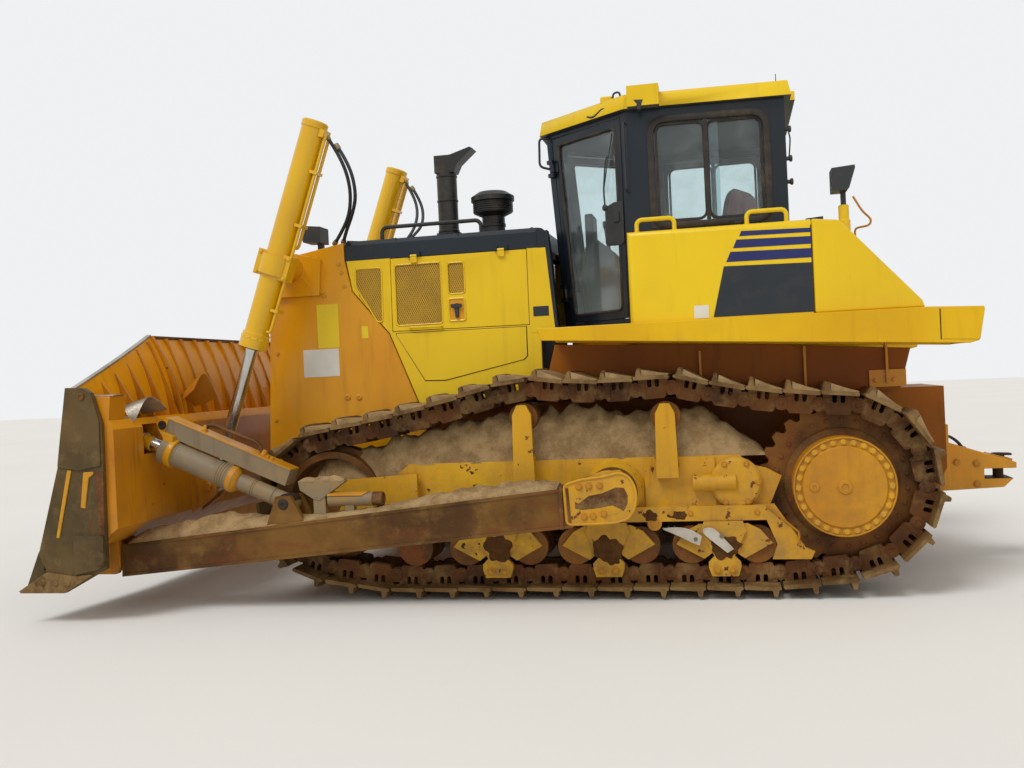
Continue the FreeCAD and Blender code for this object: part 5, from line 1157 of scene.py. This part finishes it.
bars += [lathe([(14, -8), (14, 22), (22, 26), (22, 40), (14, 44)], (-226, -782, z), (1, 0, 0), 14)
         for z in (2995, 2801, 2648)]
pair("cab_fittings", bars, "mouldedPlastic", slot="rail_paint")
pair("corner_lamp", [block(-1441, -1356, -730, -650, 3290, 3346)], "enamelYellow", 12.0)
pair("roof_recess",
     [slab([(-1198, 3250), (-1134, 3247), (-1144, 3222), (-1152, 3174), (-1172, 3175), (-1176, 3222)],
           -929.0, -932.5), slab([(-1178, 3212), (-1148, 3212), (-1150, 3180), (-1172, 3180)], -931, -944)],
     "mouldedPlastic", 2.0, **dark)
mast = [lathe([(16, 0), (16, 10), (6, 22), (3.5, 26), (2.5, 150), (0.6, 152)], (-252, -500, 3290), upwards,
              10)]
addPiece("antenna", mast, "mouldedPlastic", slot="rail_paint")


def soft(wave, power):
    return np.sign(wave) * np.abs(wave) ** power


def cushion(centre, first, second, third, channels=()):
    # a rounded box: each half axis times a sine or cosine to a small power, and sewn grooves across it
    slope, turn = np.linspace(-np.pi / 2, np.pi / 2,
                              41)[:, None], np.linspace(-np.pi, np.pi, 96, endpoint=False)[None]
    a, b = (soft(np.cos(slope), 0.45) * soft(wave, 0.34) for wave in (np.cos(turn), np.sin(turn)))
    c = np.broadcast_to(soft(np.sin(slope), 0.8), a.shape) * (1.0 - 0.22 * (a ** 2 + b ** 2) / 2.0)
    for place in channels:
        c = c * (1.0 - 0.2 * np.exp(-((b - place) / 0.035) ** 2))
    c = c * (1.0 + 0.03 * rough(77, *c.shape, passes=5))
    return gridShape(centre + a[..., None] * first + b[..., None] * second + c[..., None] * third, False,
                     True)


def welt(centre, first, second):
    turn = np.linspace(-np.pi, np.pi, 64, endpoint=False)
    a, b = soft(np.cos(turn), 0.34), soft(np.sin(turn), 0.34)
    return carried(disc(5.0, 6), centre + a[:, None] * first + b[:, None] * second, True)


# the seat is turned a little to the right, so its back shows from the left side
seatTurn = math.radians(22.0)
ahead = np.array([-math.cos(seatTurn), math.sin(seatTurn), 0.0])
across = np.array([math.sin(seatTurn), math.cos(seatTurn), 0.0])
above = np.array(upwards, float)
seatParts = {    # middle, half length, half width, half thickness of the two cushions
             "seat_cushion": ((-770, 60, 2222), ahead * 236.0, across * 246.0, above * 66.0),
             "seat_back": ((-545, 0, 2466), above * 262.0 - ahead * 48.0, across * 244.0,
                           -ahead * 66.0 - above * 12.0),
}
for name, (middle, first, second, third) in seatParts.items():
    piece = addPiece(name, [cushion(middle, first, second, third, (-0.42, 0.42))], "wovenSeat",
                     slot="seat_fabric", sharpAngle=80.0, stands=("seat",) if name == "seat_back" else ())
    addPiece(name + "_welt", [welt(middle, first * 1.01, second * 1.01)], "windowRubber", slot="seat_fabric")
addPiece("seat_base",
         [slab([(-960, 1792), (-540, 1792), (-560, 2120), (-600, 2156), (-900, 2156), (-940, 2120)],
               -190, 190), tube([(-470, -10, 2330), (-480, 0, 2200), (-600, 20, 2150)], 26.0)],
         "trimPlastic", 14.0, slot="console_plastic")
levers = (([(10, -30), (22, -20), (27, 6), (22, 26), (10, 34)], -1040, 365, 2530, -0.25, 20),
          ([(34, 0), (30, 10), (24, 26), (18, 36)], -1001, 365, 2360, -0.25, 18),
          ([(9, 0), (9, 180), (14, 190), (14, 230), (8, 236)], -1500, 60, 2350, -0.1, 12))
controls = [lathe(profile, (x, y * way, z), (lean, 0, 1), count) for profile, x, y, z, lean, count in levers
            for way in (-1, 1)]
controls += [slab(rounded(rectangle(-1662, -1600, 2330, 2640), 14), -120, 120)]
addPiece("cab_controls", controls, "mouldedPlastic", 3.0, slot="console_plastic")
print("cab dressed")

# side tanks: stripes with slanted front edges over a slate panel, all without words
tank = dict(side=-1300, joint=-127, stripes=((2281, 2250, -541), (2230, 2178, -572), (2157, 2095, -612)))
y, joint = tank["side"], tank["joint"]
navy = [slab([(front, top), (joint, top - 10), (joint, low - 5), (front - (top - low) * 0.46, low)], y + 1,
             y - 1.6)
        for top, low, front in tank["stripes"]]
pair("tank_stripes", navy, "navyEnamel")
pair("tank_panel", [slab([(-656, 2070), (joint, 2060), (joint, 1758), (-732, 1758)], y + 1, y - 1.6)],
     "slatePlate", **dark)
pair("tank_plate", [slab(rectangle(-850, -759, 1756, 1836), y + 1, y - 2)], "whitePlate")
pair("tank_joint", [slab(rectangle(-130, -124, 1750, 2290), y + 1, y - 1)], "windowRubber", **dark)
pair("tank_caps", [lathe([(34, 0), (34, 10), (26, 14), (26, 22), (14, 26)], (-170, -1010, 2326), upwards, 20),
                   lathe([(30, 0), (30, 8), (12, 10), (12, 26), (20, 30), (20, 40)], (-560, -1120, 2326),
                         upwards, 20)],
     "mouldedPlastic", 1.5, **dark)
pair("lamp_socket", [lathe([(38, -70), (38, 60), (32, 66), (32, 150), (26, 156)], (89, -1130, 2262), upwards,
                           24)],
     "enamelYellow", 2.0)
pair("rail_feet", [lathe([(17, 0), (17, 6), (14, 8)], (x, -1240, 2326), upwards, 14)
                   for x in (-1188, -951, -504, -264)],
     "enamelYellow", slot="rail_paint")
rod = ((178, 2150), (177, 2296), (268, 2308), (282, 2345), (226, 2405), (174, 2502))
pair("hand_rod", [tube([(x, -900, z) for x, z in rod], 7.0, 26.0, 10),
                  bolt((178, -900, 2160), 11, 12, (0.75, 0, 0.66))],
     "oiledYellow", slot="rail_paint")
# fenders: folded tail block with its seam, and the ribs of the hull below
pair("fender_tail", [slab([(590, 1552), (803, 1540), (836, 1722), (590, 1728)], -1349, -1354)],
     "dustedYellow", 2.5)
pair("fender_seam", [slab(rectangle(583, 589, 1548, 1732), -1349, -1351.2)], "windowRubber", **dark)
ribs = [block(x, x + 16, -790, -700, 1290, 1560) for x in (-850, -170, 344)]
ribs += [block(240, 470, -772, -700, 1268, 1380), *bolts(((280, 1312), (395, 1312)), -772, 14, 11)]
# the hull ribs take the darker amber: painted shade with some baked dust
pair("hull_ribs", ribs, "enamelAmber", 3.0, slot="hull_paint")
print("tanks dressed")

# track frame: bolts of the stone guards and covers, bent flaps, mud, and marks of the castings
guards = (-2191.5, -1462.0, -731.5)
flaps = (([(-1112, -1280, 444), (-1001, -1284, 452), (-918, -1290, 430), (-866, -1300, 392)],
          [(-1100, -1280, 432), (-1015, -1296, 399), (-925, -1310, 352), (-882, -1312, 336)]),
         ([(-855, -1282, 440), (-793, -1292, 449), (-730, -1302, 378), (-672, -1300, 311)],
          [(-860, -1280, 420), (-845, -1300, 397), (-778, -1314, 343), (-712, -1312, 288)]))
mud = ((61, guards[0] + 6, 330, 80, 90, -1274.5), (68, guards[1] - 4, 320, 92, 84, -1274.5),
       (75, guards[2] + 8, 310, 80, 78, -1274.5), (82, guards[1] + 22, 262, 52, 44, -1274.5),
       (95, -1010, 520, 60, 26, -1256.5), (97, -1180, 520, 46, 34, -1256.5),
       (99, -2060, 690, 70, 46, -1203.0))


def blot(seed, x, z, wide, tall, y):
    # a crust of mud: a round outline whose radius wanders, domed a little
    turn = np.linspace(0.0, 2.0 * np.pi, 40, endpoint=False)
    reach = 1.0 + 0.3 * rough(seed, 40, 3, passes=2)[:, 1]
    rings = [np.stack([x + wide * share * reach * np.cos(turn), np.full(40, y - out),
                       z + tall * share * reach * np.sin(turn)], -1)
             for share, out in ((1.0, -3.0), (1.0, 0.5), (0.8, 4.0), (0.45, 7.0), (0.12, 8.0))]
    return gridShape(np.stack(rings), False, True, True)


onFrame = partial(pair, slot="frame_paint")
studs = [joined([knob([(30, 0), (30, 4), (25, 5)], x + d, -1275, 176, 18),
                 bolt((x + d, -1279, 176), 17, 15, washer=False)])
         for x in guards for d in (-46, 46)]
studs += boltRing((-641, -1245, 716), 136.0, 6, 15.0, 12.0, 30.0)
studs += bolts([(x, 530) for x in (-2900, -1050, -930, -520)], -1257, 14, 11)
onFrame("frame_bolts", studs, "oiledYellow")
rings = [knob([(40, 0), (40, 5), (33, 8), (28, 8), (26, 3)], x, -1260, z, 28) for x,
         z in ((-1063, 1196), (-1987, 1221))]
rings += [knob([(46, -10), (46, 4), (38, 8), (30, 8), (28, 2)], -1160, -1250, 470, 28),
          tube([(-462, -1262, 572), (-272, -1262, 402), (-276, -1262, 338)], 7.0, 20.0, 8)]
onFrame("frame_marks", rings, "oiledYellow")
onFrame("frame_mud", [blot(*crust) for crust in mud], "cakedClay", sharpAngle=60.0)
onFrame("bent_flaps", [sheetShape(lines, 6.0) for lines in flaps], "polishedPlate")
onFrame("flap_bolts", bolts(((-905, 372), (-742, 392)), -1300, 12, 9), "platedBolt")
print("frame side dressed")

# drawbar: dark lower jaw, pin with its loop, clamp bolts and a pipe
hull = dict(slot="hull_paint")
dressed("hitch", "enamelAmber", 8.0,
        parts=[("darkCasting", lambda c, n: (c[:, 2] < 582.0) & (c[:, 0] > 830.0))], **hull)
pinParts = [lathe([(35.5, 0), (35.5, 196), (46, 198), (46, 222), (38, 228)], (1175, 0, 522), upwards, 28),
            tube([(1186, -34, 742), (1262, -34, 738), (1262, 34, 738), (1186, 34, 742)], 8.0, 26.0, 10, True)]
addPiece("drawbar_pin", pinParts, "darkCasting", 2.0, **hull)
clamps = bolts(((880, 700), (1010, 690), (1010, 545)), -120, 20, 16)
clamps += [mirroredY(shape) for shape in clamps]
clamps += [slab([(1090, 724), (1252, 694), (1252, 712), (1110, 752)], -90, 90)]
addPiece("drawbar_bolts", clamps, "oiledYellow", 2.0, **hull)
pipes = [tube([(762, y, 884), (838, y, 890), (905, y, 842), (938, y, 790)], 10.0, 40.0, 10)
         for y in (-70, -40)]
pipes += [lathe([(17, 0), (17, 34), (12, 40)], (938, y, 800), (0.35, 0, -1), 12) for y in (-70, -40)]
addPiece("drawbar_pipes", pipes, "stoveBlack", slot="hose_rubber")
print("drawbar dressed")

# pale floor, soft daylight, camera at the photograph's angle
studio = dict(eye=(1.3165, -7.964, 1.446), turns=(11.79, -0.39, -2.69), lens=36.9, floor=60.0, sky=0.62,
              backdrop=0.95, lamps={"sun": ((-0.35, -0.55, 0.9), 1.5, 25.0),
                                    "fill": ((0.7, -0.8, 0.35), 0.35, 60.0)})


def placed(name, data, axes, place=(0, 0, 0)):
    # a lamp or camera whose x, y and z axes are given
    matrix = np.eye(4)
    matrix[:3, :3] = np.stack(axes, -1)
    matrix[:3, 3] = place
    made = bpy.data.objects.new(name, data)
    made.matrix_world = Matrix(matrix.tolist())
    bpy.context.scene.collection.objects.link(made)
    return made


def stage():
    mesh = bpy.data.meshes.new("floor")
    corners = rectangle(-studio["floor"], studio["floor"], -studio["floor"], studio["floor"])
    mesh.from_pydata([(x, y, 0) for x, y in corners], [], [(0, 1, 2, 3)])
    add, place = newMaterial("paleFloor")
    shade = add("mix", add("band", add("noise", place, 0.3, 2.0, 0.55), 0.2, 0.8), "#e9e7e3", "#e6e4e0")
    add("output", add("surface", Base_Color=shade, Roughness=0.9, Specular_IOR_Level=0.1))
    mesh.materials.append(finishes["paleFloor"])
    floor = bpy.data.objects.new("floor", mesh)
    bpy.context.scene.collection.objects.link(floor)
    world = bpy.data.worlds.new("studio")
    world.use_nodes = True
    world.node_tree.nodes.clear()
    add = partial(addNode, world.node_tree)
    seen = add("higher", add("Camera"), add("higher", add("Glossy"), add("Transmission")))
    sky, backdrop = add("glow", "#f5f3ee", studio["sky"]), add("glow", "#f4f6f8", studio["backdrop"])
    add("worldOutput", add("mixShader", seen, sky, backdrop))
    bpy.context.scene.world = world
    for name, (way, strength, angle) in studio["lamps"].items():
        lamp = bpy.data.lights.new(name, "SUN")
        lamp.energy, lamp.angle = strength, math.radians(angle)
        w, a, b = frameOf(-np.array(way, float))
        placed(name, lamp, (a, b, -w))
    yaw, pitch, roll = (math.radians(a) for a in studio["turns"])
    forward = np.array([-math.sin(yaw) * math.cos(pitch), math.cos(yaw) * math.cos(pitch), math.sin(pitch)])
    level = np.array([math.cos(yaw), math.sin(yaw), 0.0])
    raised = np.cross(level, forward)
    lens = bpy.data.cameras.new("camera")
    lens.lens, lens.sensor_width, lens.clip_end = studio["lens"], 36.0, 300.0
    axes = (level * math.cos(roll) + raised * math.sin(roll),
            -level * math.sin(roll) + raised * math.cos(roll), -forward)
    bpy.context.scene.camera = placed("camera", lens, axes, studio["eye"])
    bpy.context.scene.view_settings.view_transform = "Standard"


stage()
bpy.context.view_layer.update()
print("stage set")
